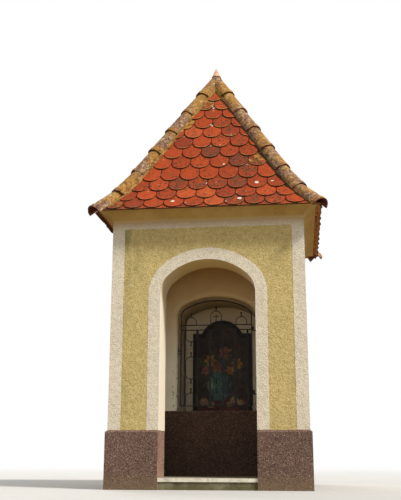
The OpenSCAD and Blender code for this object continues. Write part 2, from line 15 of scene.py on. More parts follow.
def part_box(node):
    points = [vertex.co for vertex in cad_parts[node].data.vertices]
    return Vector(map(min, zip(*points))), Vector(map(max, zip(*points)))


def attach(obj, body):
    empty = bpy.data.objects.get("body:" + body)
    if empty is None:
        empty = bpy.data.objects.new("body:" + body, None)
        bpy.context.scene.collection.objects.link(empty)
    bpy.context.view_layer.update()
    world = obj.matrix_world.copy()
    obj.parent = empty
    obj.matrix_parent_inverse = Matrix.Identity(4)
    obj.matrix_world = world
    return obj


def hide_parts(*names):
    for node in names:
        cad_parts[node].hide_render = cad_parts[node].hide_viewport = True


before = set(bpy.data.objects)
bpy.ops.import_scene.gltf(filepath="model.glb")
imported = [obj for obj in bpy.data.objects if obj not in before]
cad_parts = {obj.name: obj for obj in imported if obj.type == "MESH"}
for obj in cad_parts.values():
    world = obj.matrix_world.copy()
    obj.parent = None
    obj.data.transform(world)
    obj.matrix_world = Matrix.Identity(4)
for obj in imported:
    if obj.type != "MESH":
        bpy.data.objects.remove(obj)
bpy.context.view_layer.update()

# Plinth and altar block: brickwork under a coat of purple-brown stone chips, bound in
# clear resin, trowelled on level and left to set. The chips give a fine grain of dark,
# rosy and beige specks with a slight glint.


def linear(code):
    """Linear colour of an sRGB hex value such as "#8A7166", or of a plain grey level."""
    if not isinstance(code, str):
        return (code, code, code, 1.0)
    steps = [int(code[i:i + 2], 16) / 255 for i in (1, 3, 5)]
    return tuple(c / 12.92 if c < 0.04045 else ((c + 0.055) / 1.055) ** 2.4 for c in steps) + (1.0,)


def add(finish, kind, inputs=None, out=0, stops=(), **settings):
    """Adds a node with its settings, ramp stops, socket values and links; returns one output."""
    node = finish.node_tree.nodes.new("ShaderNode" + kind)
    for name, value in settings.items():
        setattr(node, name, value)
    if stops:
        ramp = node.color_ramp
        ramp.elements[0].position = stops[0][0]
        ramp.elements[-1].position = stops[-1][0]
        for place, _ in stops[1:-1]:
            ramp.elements.new(place)
        for element, (_, code) in zip(ramp.elements, stops):
            element.color = linear(code)
    for key, value in (inputs or {}).items():
        if isinstance(value, bpy.types.NodeSocket):
            finish.node_tree.links.new(value, node.inputs[key])
        else:
            node.inputs[key].default_value = value
    return node.outputs[out] if node.outputs else None


# Sockets go by name or by number. A MapRange node takes values from its 1 to its 2 and
# gives them from its 3 to its 4. A Mix node blends the colours at its 6 and 7 by the share
# at its 0 and gives the result at its 2.
mix_colours = {"out": 2, "data_type": "RGBA"}
multiply_colours = {"out": 2, "data_type": "RGBA", "blend_type": "MULTIPLY"}


def new_finish(name):
    """An empty node material and its object coordinates in metres."""
    finish = bpy.data.materials.new(name)
    finish.use_nodes = True
    finish.node_tree.nodes.clear()
    return finish, add(finish, "TexCoord", out="Object")


def complete(finish, colour, height, relief, **sockets):
    """Ends a material: relief is the depth of its bump in metres, sockets the shader's own values."""
    normal = add(finish, "Bump", {"Height": height, "Distance": relief, "Strength": 1.0})
    shader = add(finish, "BsdfPrincipled", {"Base Color": colour, "Normal": normal})
    for key, value in sockets.items():
        socket = shader.node.inputs[key.replace("_", " ")]
        if isinstance(value, bpy.types.NodeSocket):
            finish.node_tree.links.new(value, socket)
        else:
            socket.default_value = value
    add(finish, "OutputMaterial", {"Surface": shader})
    return finish


def dress(finish, *names):
    """Gives CAD nodes their finish."""
    for name in names:
        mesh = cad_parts[name].data
        mesh.materials.clear()
        mesh.materials.append(finish)


def distances_out(finish, place):
    """Distance from the shrine's middle to the left or right, and the greater of it and front or back."""
    absolute = add(finish, "VectorMath", {0: place}, operation="ABSOLUTE")
    aside = add(finish, "SeparateXYZ", {"Vector": absolute}, out="X")
    reach = add(finish, "Math", {0: aside, 1: aside.node.outputs["Y"]}, operation="MAXIMUM")
    return aside, reach


def resin_bound_stone_chips():
    # The chips are 2 to 3 mm across and are drawn at 6 mm, since finer ones would not show.
    chip = 0.006
    worn_patch = 0.25
    chamber_half = 0.53
    opening_half = 0.45
    altar_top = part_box("altar_block")[1][2]
    finish, place = new_finish("resin_bound_stone_chips")
    cells = {"Vector": place, "Scale": 1 / chip, "Randomness": 1.0}
    tint = add(finish, "TexVoronoi", cells, out="Color", feature="F1")
    lottery = add(finish, "SeparateColor", {"Color": tint}, out=0)
    chips = add(finish, "ValToRGB", {"Fac": lottery}, stops=[
        (0.0, "#4B3731"), (0.3, "#614A41"), (0.6, "#71584C"), (0.85, "#7E6556"), (0.96, "#937A68"),
        (1.0, "#A6917C")])
    patches = add(finish, "TexNoise", {"Vector": place, "Scale": 1 / worn_patch, "Detail": 4.0,
                                       "Roughness": 0.6}, out="Fac")
    worn = add(finish, "ValToRGB", {"Fac": patches}, stops=[(0.35, 0.86), (0.7, 1.08)])
    colour = add(finish, "Mix", {0: 1.0, 6: chips, 7: worn}, **multiply_colours)
    # Rain splashes soil on the foot of the wall, which dulls its lowest hand's breadth.
    height = add(finish, "SeparateXYZ", {"Vector": place}, out="Z")
    ragged = add(finish, "MapRange", {"Value": patches, 3: -0.06, 4: 0.06})
    splash = add(finish, "Math", {0: height, 1: ragged}, operation="ADD")
    soiled = add(finish, "MapRange", {"Value": splash, 1: 0.02, 2: 0.16, 3: 0.5, 4: 0.0})
    colour = add(finish, "Mix", {0: soiled, 6: colour, 7: linear("#7D6B4E")}, **mix_colours)
    # Indoors, on the altar, they are painted darker, as painted shade of the chamber.
    aside, reach = distances_out(finish, place)
    chamber_shade = add(finish, "MapRange", {"Value": reach, 1: chamber_half, 2: chamber_half + 0.03,
                                       3: 0.47, 4: 1.0})
    colour = add(finish, "Mix", {0: 1.0, 6: colour, 7: chamber_shade}, **multiply_colours)
    # The altar's top edge is painted paler, as a painted highlight on its arris.
    top_edge_highlight = add(finish, "MapRange", {"Value": height, 1: altar_top - 0.009, 2: altar_top - 0.005,
                                      3: 1.0, 4: 1.6})
    colour = add(finish, "Mix", {0: 1.0, 6: colour, 7: top_edge_highlight}, **multiply_colours)
    # The side faces within the opening are painted lighter, as painted sunlight from the side.
    sideways = add(finish, "SeparateXYZ", {"Vector": add(finish, "NewGeometry", out="Normal")}, out="X")
    sideways = add(finish, "Math", {0: sideways}, operation="ABSOLUTE")
    turned_in = add(finish, "Math", {0: sideways, 1: 0.5}, operation="GREATER_THAN")
    within = add(finish, "Math", {0: aside, 1: opening_half}, operation="LESS_THAN")
    side_face_in_opening = add(finish, "Math", {0: turned_in, 1: within}, operation="MULTIPLY")
    side_sunlight = add(finish, "MapRange", {"Value": side_face_in_opening, 3: 1.0, 4: 1.9})
    colour = add(finish, "Mix", {0: 1.0, 6: colour, 7: side_sunlight}, **multiply_colours)
    depth = add(finish, "TexVoronoi", cells, out="Distance", feature="F1")
    return complete(finish, colour, depth, 0.0022, Roughness=0.72, Specular_IOR_Level=0.12)


dress(resin_bound_stone_chips(), "plinth_pier_left", "plinth_pier_right", "plinth_left", "plinth_right",
      "plinth_back", "altar_block")

# Threshold step: concrete cast on the spot between the two plinth piers, left rough from
# its boards. Damp soil keeps its foot brown and lets green algae grow on it.


def rough_cast_concrete():
    # Sand and gravel show as pits about 12 mm apart, under stains a hand wide.
    gravel = 0.012
    stain = 0.111
    finish, place = new_finish("rough_cast_concrete")
    stains = add(finish, "TexNoise", {"Vector": place, "Scale": 1 / stain, "Detail": 7.0, "Roughness": 0.65},
                 out="Fac")
    colour = add(finish, "ValToRGB", {"Fac": stains}, stops=[
        (0.28, "#4C4431"), (0.45, "#696046"), (0.6, "#837960"), (0.75, "#A1977E")])
    height = add(finish, "SeparateXYZ", {"Vector": place}, out="Z")
    damp = add(finish, "MapRange", {"Value": height, 1: 0.0, 2: 0.06, 3: 0.75, 4: 0.1})
    algae = add(finish, "Math", {0: damp, 1: stains}, operation="MULTIPLY")
    colour = add(finish, "Mix", {0: algae, 6: colour, 7: linear("#5E5F38")}, **mix_colours)
    pits = add(finish, "TexNoise", {"Vector": place, "Scale": 1 / gravel, "Detail": 5.0, "Roughness": 0.7},
               out="Fac")
    return complete(finish, colour, pits, 0.004, Roughness=0.9, Specular_IOR_Level=0.25)


dress(rough_cast_concrete(), "threshold_step")

# Threshold: two slabs of pale marble, sawn and honed, bedded on the step and running
# back to the altar. Feet and rain have dulled them; the butt joint holds a line of dirt.


def honed_marble():
    # Veins lie about 90 mm apart and swing from side to side every hand or two; the joint
    # between the slabs is 3 mm wide.
    vein_spacing = 0.09
    swing = 0.167
    joint = 0.003
    joint_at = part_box("threshold_slab_right")[0][0]
    painted_shade_from = -0.865
    finish, place = new_finish("honed_marble")
    bend = add(finish, "TexNoise", {"Vector": place, "Scale": 1 / swing, "Detail": 4.0}, out="Color")
    swirl = add(finish, "Mix", {0: 0.12, 6: place, 7: bend}, blend_type="ADD", **mix_colours)
    veins = add(finish, "TexNoise", {"Vector": swirl, "Scale": 1 / vein_spacing, "Detail": 8.0,
                                     "Roughness": 0.7}, out="Fac")
    colour = add(finish, "ValToRGB", {"Fac": veins}, stops=[
        (0.3, "#B0AA97"), (0.46, "#D6CEBA"), (0.6, "#E6DECB"), (0.75, "#D8D0BC")])
    across = add(finish, "SeparateXYZ", {"Vector": place}, out="X")
    off = add(finish, "Math", {0: across, 1: joint_at}, operation="SUBTRACT")
    near = add(finish, "Math", {0: off}, operation="ABSOLUTE")
    dirt = add(finish, "MapRange", {"Value": near, 1: joint / 2, 2: joint, 3: 0.85, 4: 0.0})
    colour = add(finish, "Mix", {0: dirt, 6: colour, 7: linear("#5B5244")}, **mix_colours)
    # Their tops behind the front edge are painted darker, as painted shade of the opening with some dust; the
    # front edge stays clean.
    upward = add(finish, "SeparateXYZ", {"Vector": add(finish, "NewGeometry", out="Normal")}, out="Z")
    opening_shade = add(finish, "MapRange", {"Value": across.node.outputs["Y"], 1: painted_shade_from,
                                         2: painted_shade_from + 0.075})
    dusty = add(finish, "Math", {0: opening_shade, 1: upward}, operation="MULTIPLY")
    dusty = add(finish, "MapRange", {"Value": dusty, 3: 0.0, 4: 0.75})
    colour = add(finish, "Mix", {0: dusty, 6: colour, 7: linear("#807A64")}, **mix_colours)
    return complete(finish, colour, veins, 0.0006, Roughness=0.42)


dress(honed_marble(), "threshold_slab_left", "threshold_slab_right")

# Outer walls: brick under roughcast, a coarse lime mortar thrown on wet and painted
# yellow. Its grains catch the light as a fine, sandy sparkle; inside the opening the same
# walls carry smooth plaster in cream.
wall_face = -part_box("front_arch")[0][1]


def grain_of_roughcast(finish, place):
    """Height of the thrown grains, 5 mm across, drawn at 12 mm so that they show, in slack waves."""
    grain = 0.012
    wave = 0.045
    small = add(finish, "TexNoise", {"Vector": place, "Scale": 1 / grain, "Detail": 3.0, "Roughness": 0.6},
                out="Fac")
    slack = add(finish, "TexNoise", {"Vector": place, "Scale": 1 / wave, "Detail": 2.0}, out="Fac")
    waves = add(finish, "MapRange", {"Value": slack, 3: -0.2, 4: 0.2})
    both = add(finish, "Math", {0: small, 1: waves}, operation="ADD")
    return add(finish, "MapRange", {"Value": both, 1: 0.3, 2: 0.7})


def yellow_roughcast():
    faded_patch = 0.385
    run_wide = 0.06
    run_long = 0.3
    finish, place = new_finish("yellow_lime_roughcast")
    grains = grain_of_roughcast(finish, place)
    paint = add(finish, "ValToRGB", {"Fac": grains}, stops=[
        (0.0, "#AB965E"), (0.35, "#BBA569"), (0.65, "#C7B177"), (1.0, "#D1BC86")])
    patches = add(finish, "TexNoise", {"Vector": place, "Scale": 1 / faded_patch, "Detail": 5.0,
                                       "Roughness": 0.55}, out="Fac")
    faded = add(finish, "ValToRGB", {"Fac": patches}, stops=[(0.3, 0.93), (0.7, 1.04)])
    outside = add(finish, "Mix", {0: 1.0, 6: paint, 7: faded}, **multiply_colours)
    # Rain from the left eave keeps a patch damp, where grey-green algae grow in short runs.
    spread = add(finish, "Mapping", {"Vector": place, "Scale": (1 / run_wide, 1 / run_wide, 1 / run_long)})
    runs = add(finish, "TexNoise", {"Vector": spread, "Scale": 1.0, "Detail": 4.0}, out="Fac")
    across = add(finish, "SeparateXYZ", {"Vector": place}, out="X")
    height = across.node.outputs["Z"]
    weather_side = add(finish, "MapRange", {"Value": across, 1: -0.5, 2: -0.74, 3: 0.0, 4: 1.0})
    under_eave = add(finish, "MapRange", {"Value": height, 1: 1.2, 2: 1.95, 3: 0.25, 4: 1.0})
    streaks = add(finish, "MapRange", {"Value": runs, 1: 0.4, 2: 0.68, 3: 0.0, 4: 0.75})
    damp = add(finish, "Math", {0: weather_side, 1: under_eave}, operation="MULTIPLY")
    algae = add(finish, "Math", {0: streaks, 1: damp}, operation="MULTIPLY")
    outside = add(finish, "Mix", {0: algae, 6: outside, 7: linear("#7C7850")}, **mix_colours)
    # The outer faces are those farther from the middle than just under the walls' face.
    _, reach = distances_out(finish, place)
    outer = add(finish, "Math", {0: reach, 1: wall_face - 0.0008}, operation="GREATER_THAN")
    # The crown of the opening is painted darker and warmer, as painted shade.
    warm_shade_up = add(finish, "MapRange", {"Value": height, 1: 1.6, 2: 1.93})
    cream = add(finish, "Mix", {0: warm_shade_up, 6: linear("#ECDFC6"), 7: linear("#CBAA70")}, **mix_colours)
    colour = add(finish, "Mix", {0: outer, 6: cream, 7: outside}, **mix_colours)
    relief = add(finish, "Math", {0: grains, 1: outer}, operation="MULTIPLY")
    return complete(finish, colour, relief, 0.0026, Roughness=0.93, Specular_IOR_Level=0.25)


dress(yellow_roughcast(), "front_pier_left", "front_pier_right", "front_arch", "side_wall_left",
      "side_wall_right", "back_wall")

# White bands: the edges of the walls and of the arch, set off in off-white limewash on a
# second coat of the same roughcast, two millimetres proud of the yellow field.
band_proud = 0.002
band_width = 0.108
arch_band_width = 0.104
arch_rise = 0.300
arch_haunch = 0.220
plinth_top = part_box("plinth_back")[1][2]
cove_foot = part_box("cornice_front")[0][2]
field_top = 2.270


def white_roughcast():
    dusty_patch = 0.333
    finish, place = new_finish("white_limewashed_roughcast")
    grains = grain_of_roughcast(finish, place)
    wash = add(finish, "ValToRGB", {"Fac": grains}, stops=[
        (0.0, "#BFB299"), (0.35, "#D4C7AF"), (0.7, "#DDD1BB"), (1.0, "#E4DAC7")])
    patches = add(finish, "TexNoise", {"Vector": place, "Scale": 1 / dusty_patch, "Detail": 5.0}, out="Fac")
    dusty = add(finish, "ValToRGB", {"Fac": patches}, stops=[(0.32, 0.94), (0.68, 1.02)])
    colour = add(finish, "Mix", {0: 1.0, 6: wash, 7: dusty}, **multiply_colours)
    # The strip close under the cove is painted tan, as painted shade of the eaves with some dirt.
    height = add(finish, "SeparateXYZ", {"Vector": place}, out="Z")
    eave_shade_and_dirt = add(finish, "MapRange", {"Value": height, 1: field_top - 0.02, 2: cove_foot, 3: 0.0, 4: 0.68})
    colour = add(finish, "Mix", {0: eave_shade_and_dirt, 6: colour, 7: linear("#A98A58")}, **mix_colours)
    return complete(finish, colour, grains, 0.0024, Roughness=0.92, Specular_IOR_Level=0.25)


white_finish = white_roughcast()


def make_piece(name, points, faces, finish, slot, body="root", crease=40.0):
    """A mesh piece that rides on a body and takes the given finish; its slot is not used."""
    mesh = bpy.data.meshes.new(name)
    mesh.from_pydata(points, [], faces)
    mesh.validate()
    mesh.materials.append(finish)
    mesh.shade_smooth()
    mesh.set_sharp_from_angle(angle=math.radians(crease))
    piece = bpy.data.objects.new(name, mesh)
    bpy.context.scene.collection.objects.link(piece)
    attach(piece, body)
    return piece


def turned(point, quarter):
    """The point turned about the shrine's middle by that many quarter turns to the right."""
    x, y, z = point
    for _ in range(quarter % 4):
        x, y = -y, x
    return (x, y, z)


def edge_bands():
    """One frame of bands on each wall: two corner strips and the strip under the cornice."""
    points, faces = [], []
    for quarter in range(4):
        start = len(points)
        for out in (0.0, band_proud):
            edge = wall_face + out
            field = wall_face - band_width
            outline = [(-edge, plinth_top), (-field, plinth_top), (-field, field_top), (field, field_top),
                       (field, plinth_top), (edge, plinth_top), (edge, cove_foot), (-edge, cove_foot)]
            points += [turned((x, -edge, z), quarter) for x, z in outline]
        n = len(outline)
        back = [start + i for i in range(n)]
        front = [start + n + i for i in range(n)]
        faces.append(front)
        faces.append(back[::-1])
        faces += [(back[i], back[(i + 1) % n], front[(i + 1) % n], front[i]) for i in range(n)]
    return points, faces


make_piece("white_edge_bands", *edge_bands(), white_finish, "rendered_wall")


def basket_arch(half, spring, rise, haunch, steps=20):
    """Points (x, z) of a three-centred arch, from its right foot over the crown to its left."""
    crown = ((half - haunch) ** 2 + rise ** 2 - haunch ** 2) / (2 * (rise - haunch))
    t = math.asin((half - haunch) / (crown - haunch))
    turn = math.pi / 2 - t
    side = []
    for i in range(steps + 1):
        angle = turn * i / steps
        side.append((half - haunch + haunch * math.cos(angle), spring + haunch * math.sin(angle)))
    for i in range(1, steps + 1):
        angle = turn + t * i / steps
        side.append((crown * math.cos(angle), spring + rise - crown + crown * math.sin(angle)))
    return side + [(-x, z) for x, z in side[-2::-1]]


def arch_band():
    """The band round the opening, from the plinth up and over the basket arch."""
    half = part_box("front_pier_right")[0][0]
    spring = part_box("front_pier_right")[1][2]
    points = []
    for out in (0.0, band_proud):
        for grow in (0.0, arch_band_width):
            curve = basket_arch(half + grow, spring, arch_rise + grow, arch_haunch + grow)
            outline = [(half + grow, plinth_top)] + curve + [(-half - grow, plinth_top)]
            points += [(x, -wall_face - out, z) for x, z in outline]
    n = len(points) // 4
    rings = [[k * n + i for i in range(n)] for k in (0, 1, 3, 2)]
    faces = []
    for i in range(n - 1):
        faces += [(a[i], a[i + 1], b[i + 1], b[i]) for a, b in zip(rings, rings[1:] + rings[:1])]
    faces += [[ring[0] for ring in rings][::-1], [ring[-1] for ring in rings]]
    return points, faces


make_piece("white_arch_band", *arch_band(), white_finish, "rendered_wall")

# Chamber and niche: smooth lime plaster on brick, rubbed down with a felt board and
# painted cream, with a rounded arris round the niche. Towards the ceiling and deep in the
# niche it is painted darker and warmer, as painted shade, and its left arris is chipped.


def smooth_lime_plaster():
    # Clouds in the paint are as wide as a felt board, and its flakes as wide as two fingers.
    cloud = 0.2
    flake = 0.0385
    arris_aside = 0.392
    finish, place = new_finish("smooth_cream_plaster")
    across = add(finish, "SeparateXYZ", {"Vector": place}, out="X")
    back = across.node.outputs["Y"]
    height = across.node.outputs["Z"]
    # The cream is painted darker and warmer towards the ceiling, as painted shade.
    warm_shade_up = add(finish, "MapRange", {"Value": height, 1: 1.15, 2: 2.05})
    paint = add(finish, "ValToRGB", {"Fac": warm_shade_up}, stops=[
        (0.0, "#F0E8D4"), (0.5, "#DEC59A"), (1.0, "#C79A57")])
    clouds = add(finish, "TexNoise", {"Vector": place, "Scale": 1 / cloud, "Detail": 6.0, "Roughness": 0.6},
                 out="Fac")
    uneven = add(finish, "ValToRGB", {"Fac": clouds}, stops=[(0.3, 0.9), (0.7, 1.04)])
    colour = add(finish, "Mix", {0: 1.0, 6: paint, 7: uneven}, **multiply_colours)
    # The vault deep in the niche is painted darker still, as painted shade.
    deep = add(finish, "MapRange", {"Value": back, 1: 0.1, 2: 0.4})
    high = add(finish, "MapRange", {"Value": height, 1: 1.3, 2: 1.6, 3: 0.2, 4: 0.45})
    niche_shade = add(finish, "Math", {0: deep, 1: high}, operation="MULTIPLY")
    colour = add(finish, "Mix", {0: niche_shade, 6: colour, 7: linear("#4A3A26")}, **mix_colours)
    # Knocks on the left arris lie between the altar and a hand's reach above it, in front
    # of the gate.
    off = add(finish, "Math", {0: across, 1: arris_aside}, operation="ADD")
    off = add(finish, "Math", {0: off}, operation="ABSOLUTE")
    on_arris = add(finish, "MapRange", {"Value": off, 1: 0.01, 2: 0.035, 3: 1.0, 4: 0.0})
    low = add(finish, "MapRange", {"Value": height, 1: 1.0, 2: 1.16, 3: 1.0, 4: 0.0})
    before = add(finish, "MapRange", {"Value": back, 1: -0.04, 2: -0.01, 3: 1.0, 4: 0.0})
    flakes = add(finish, "TexNoise", {"Vector": place, "Scale": 1 / flake, "Detail": 4.0}, out="Fac")
    chipped = add(finish, "MapRange", {"Value": flakes, 1: 0.55, 2: 0.6})
    for bound in (on_arris, low, before):
        chipped = add(finish, "Math", {0: chipped, 1: bound}, operation="MULTIPLY")
    colour = add(finish, "Mix", {0: chipped, 6: colour, 7: linear("#6E6558")}, **mix_colours)
    trowelled = add(finish, "Math", {0: clouds, 1: chipped}, operation="SUBTRACT")
    return complete(finish, colour, trowelled, 0.002, Roughness=0.85, Specular_IOR_Level=0.25)


dress(smooth_lime_plaster(), "niche_wall", "niche_lining", "chamber_ceiling")

# Cornice: a cove run in lime mortar with a wooden template under the eaves, painted
# ochre. Damp, cobwebs and fly specks gather in it, most of all close under the tiles.


def painted_cove_plaster():
    # Specks of 6 mm lie about 20 mm apart, in clusters as wide as a hand is long.
    speck_spacing = 0.02
    cluster = 0.25
    cloud = 0.286
    finish, place = new_finish("ochre_cove_plaster")
    clouds = add(finish, "TexNoise", {"Vector": place, "Scale": 1 / cloud, "Detail": 6.0, "Roughness": 0.6},
                 out="Fac")
    paint = add(finish, "ValToRGB", {"Fac": clouds}, stops=[
        (0.3, "#A48144"), (0.5, "#B28E4E"), (0.72, "#BE9C5E")])
    # The white of the walls was brushed a little way up into it.
    height = add(finish, "SeparateXYZ", {"Vector": place}, out="Z")
    wandering = add(finish, "MapRange", {"Value": clouds, 3: -0.012, 4: 0.012})
    reached = add(finish, "Math", {0: height, 1: wandering}, operation="ADD")
    brushed_over = add(finish, "MapRange", {"Value": reached, 1: cove_foot + 0.012, 2: cove_foot + 0.034,
                                            3: 0.8, 4: 0.0})
    colour = add(finish, "Mix", {0: brushed_over, 6: paint, 7: linear("#BFA67A")}, **mix_colours)
    specks = add(finish, "TexNoise", {"Vector": place, "Scale": 1 / speck_spacing, "Detail": 3.0}, out="Fac")
    clusters = add(finish, "TexNoise", {"Vector": place, "Scale": 1 / cluster, "Detail": 2.0}, out="Fac")
    both = add(finish, "Math", {0: specks, 1: clusters}, operation="MULTIPLY")
    spotted = add(finish, "MapRange", {"Value": both, 1: 0.43, 2: 0.47, 3: 0.0, 4: 0.8})
    colour = add(finish, "Mix", {0: spotted, 6: colour, 7: linear("#4A3A24")}, **mix_colours)
    return complete(finish, colour, clouds, 0.003, Roughness=0.88, Specular_IOR_Level=0.25)


dress(painted_cove_plaster(), "cornice_front", "cornice_back", "cornice_left", "cornice_right")

# Roof slopes: plain clay tiles with rounded tails, 181 mm wide and a finger's breadth
# thick, hung on battens in a double lap, each course shifted by half a tile. Their tails
# have caught lichen and dirt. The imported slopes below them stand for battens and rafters.
pitch = math.radians(61.6)
eave_pitch = math.radians(46.2)
bellcast_run = 0.302
eave_out = -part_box("roof_front")[0][1]
apex_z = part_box("roof_front")[1][2]
bell_radius = bellcast_run / (math.sin(pitch) - math.sin(eave_pitch))
bell_length = bell_radius * (pitch - eave_pitch)
# Points of the roof's section: how far out from the middle, and how high.
bell_top = (eave_out - bellcast_run, apex_z - (eave_out - bellcast_run) * math.tan(pitch))
bell_centre = (bell_top[0] + bell_radius * math.sin(pitch), bell_top[1] + bell_radius * math.cos(pitch))


def slope_line(s):
    """Distance out, height and pitch of the roof's surface at the length s up from the eave."""
    if s > bell_length:
        straight = s - bell_length
        return bell_top[0] - straight * math.cos(pitch), bell_top[1] + straight * math.sin(pitch), pitch
    angle = eave_pitch + s / bell_radius
    out = bell_centre[0] - bell_radius * math.sin(angle)
    return out, bell_centre[1] - bell_radius * math.cos(angle), angle


def length_up(out):
    """Length up from the eave at which the roof's surface is that far out from the middle."""
    if out > bell_top[0]:
        return (math.asin((bell_centre[0] - out) / bell_radius) - eave_pitch) * bell_radius
    return bell_length + (bell_top[0] - out) / math.cos(pitch)


def on_slope(across, s, above, quarter):
    """A point over a roof slope: across from its middle, s up from the eave, above its surface."""
    out, z, angle = slope_line(s)
    return turned((across, -(out + above * math.sin(angle)), z + above * math.cos(angle)), quarter)


# Lengths that show of each course, from the eave to the apex, and how far the lowest
# courses have strayed to the left of the true half tile.
exposures = [0.136, 0.143, 0.149, 0.165, 0.144, 0.146, 0.150, 0.146, 0.147, 0.141, 0.148, 0.150]
strayed = {0: -0.020, 1: -0.011, 2: -0.003}
tile_pitch = 0.1817
tile_gap = 0.005
tile_length = 0.31
tile_thick = 0.012
tail_round = 0.090
# Height of a tail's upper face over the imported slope, with one tile under it.
tile_stack = 0.0245
eave_overhang = 0.001
# The field stops this far inside the hip line, under the hip tiles.
hip_cover = 0.080
# Distances from the tail at which a tile has points: a worn edge, the rim and its body.
rows = [0.0, 0.0025, 0.008, 0.016, 0.03, 0.07, 0.15, tile_length]
columns = 20
worn_off = 0.0025
rim_width = 0.022
joint_dirt_width = 0.0035


def lay_tile(mesh, rng, centre, tail, exposure, quarter, top, straight=False):
    """Adds one tile to the points, faces and colour values; it is left out where the hip covers it."""
    points, faces, marks, places = mesh
    half = (tile_pitch - tile_gap) / 2
    # No tile hangs quite straight, level or flat.
    skew = rng.uniform(-0.02, 0.02)
    lift = rng.uniform(-0.0012, 0.0012)
    slide = rng.uniform(-0.003, 0.003)
    camber = rng.uniform(0.0, 0.003)
    # The tone picks the colour of its clay, the growth how much has grown on it: one tile
    # in five beside a hip, and each at the left end of the eave, is crusted with lichen.
    tone = rng.random()
    growth = rng.random()
    by_the_hip = tail + 0.1 > length_up(abs(centre) + 0.17)
    if by_the_hip and (growth > 0.8 or (tail < 0.1 and centre < 0)):
        growth = 1.35 + growth / 5
    tail += slide
    rings = []
    for i in range(columns + 1):
        # The points lie closer towards the sides, where the rounded tail is steepest.
        x = -half * math.cos(math.pi * i / columns)
        across = centre + x
        arc = 1 - (x / half) ** 2
        if straight:
            sag, steep = 0.0, 1.0
        else:
            sag = tail_round * (1 - math.sqrt(max(0.0, arc)))
            steep = math.hypot(1.0, tail_round * x / half ** 2 / max(0.15, arc) ** 0.5)
        low = tail + sag + skew * x
        high = min(tail + tile_length, length_up(abs(across) + hip_cover))
        if high - low < 0.004:
            continue
        swell = camber * arc + lift
        # Towards the side edges the top is darkened, with dirt and painted shade in the joints; the points of
        # the underside are darkened fully.
        joint_dirt_and_shade = max(0.0, 1 - (half - abs(x)) / joint_dirt_width)
        first = len(points)
        for k, row in enumerate(rows):
            s = min(low + row, high)
            above = top - tile_thick * (s - tail) / exposure + swell - (worn_off if k == 0 else 0.0)
            points.append(on_slope(across, s, above, quarter))
            places.append((across + 5 * quarter, s, 0.0))
            inside = min((s - low) / steep, half - abs(x))
            rim = max(0.0, 1 - inside / rim_width) * min(1.0, max(0.0, 1.4 - (s - tail) / 0.06))
            marks.append((tone, rim, growth, joint_dirt_and_shade))
        for s in (high, low):
            above = top - tile_thick * (s - tail) / exposure + swell - tile_thick
            points.append(on_slope(across, s, above, quarter))
            places.append((across + 5 * quarter, s, 0.0))
            marks.append((tone, 0.0, growth, 1.0))
        rings.append(list(range(first, len(points))))
    if len(rings) < 2:
        return
    n = len(rings[0])
    for a, b in zip(rings, rings[1:]):
        faces += [(a[j], b[j], b[(j + 1) % n], a[(j + 1) % n]) for j in range(n)]
    faces += [rings[0], rings[-1][::-1]]


def tile_slope(quarter):
    """All tiles of one slope, with the short straight-tailed ones under the eave course."""
    rng = random.Random(40 + quarter)
    mesh = ([], [], [], [])
    reach = int(eave_out / tile_pitch) + 2
    for column in range(-reach, reach + 1):
        lay_tile(mesh, rng, column * tile_pitch, 0.0, exposures[0], quarter, tile_stack - tile_thick,
                 straight=True)
    tail = -eave_overhang
    for course, exposure in enumerate(exposures):
        shift = 0.5 if course % 2 == 0 else 0.0
        for column in range(-reach, reach + 1):
            centre = (column + shift) * tile_pitch + strayed.get(course, 0.0)
            lay_tile(mesh, rng, centre, tail, exposure, quarter, tile_stack)
        tail += exposure
    return mesh


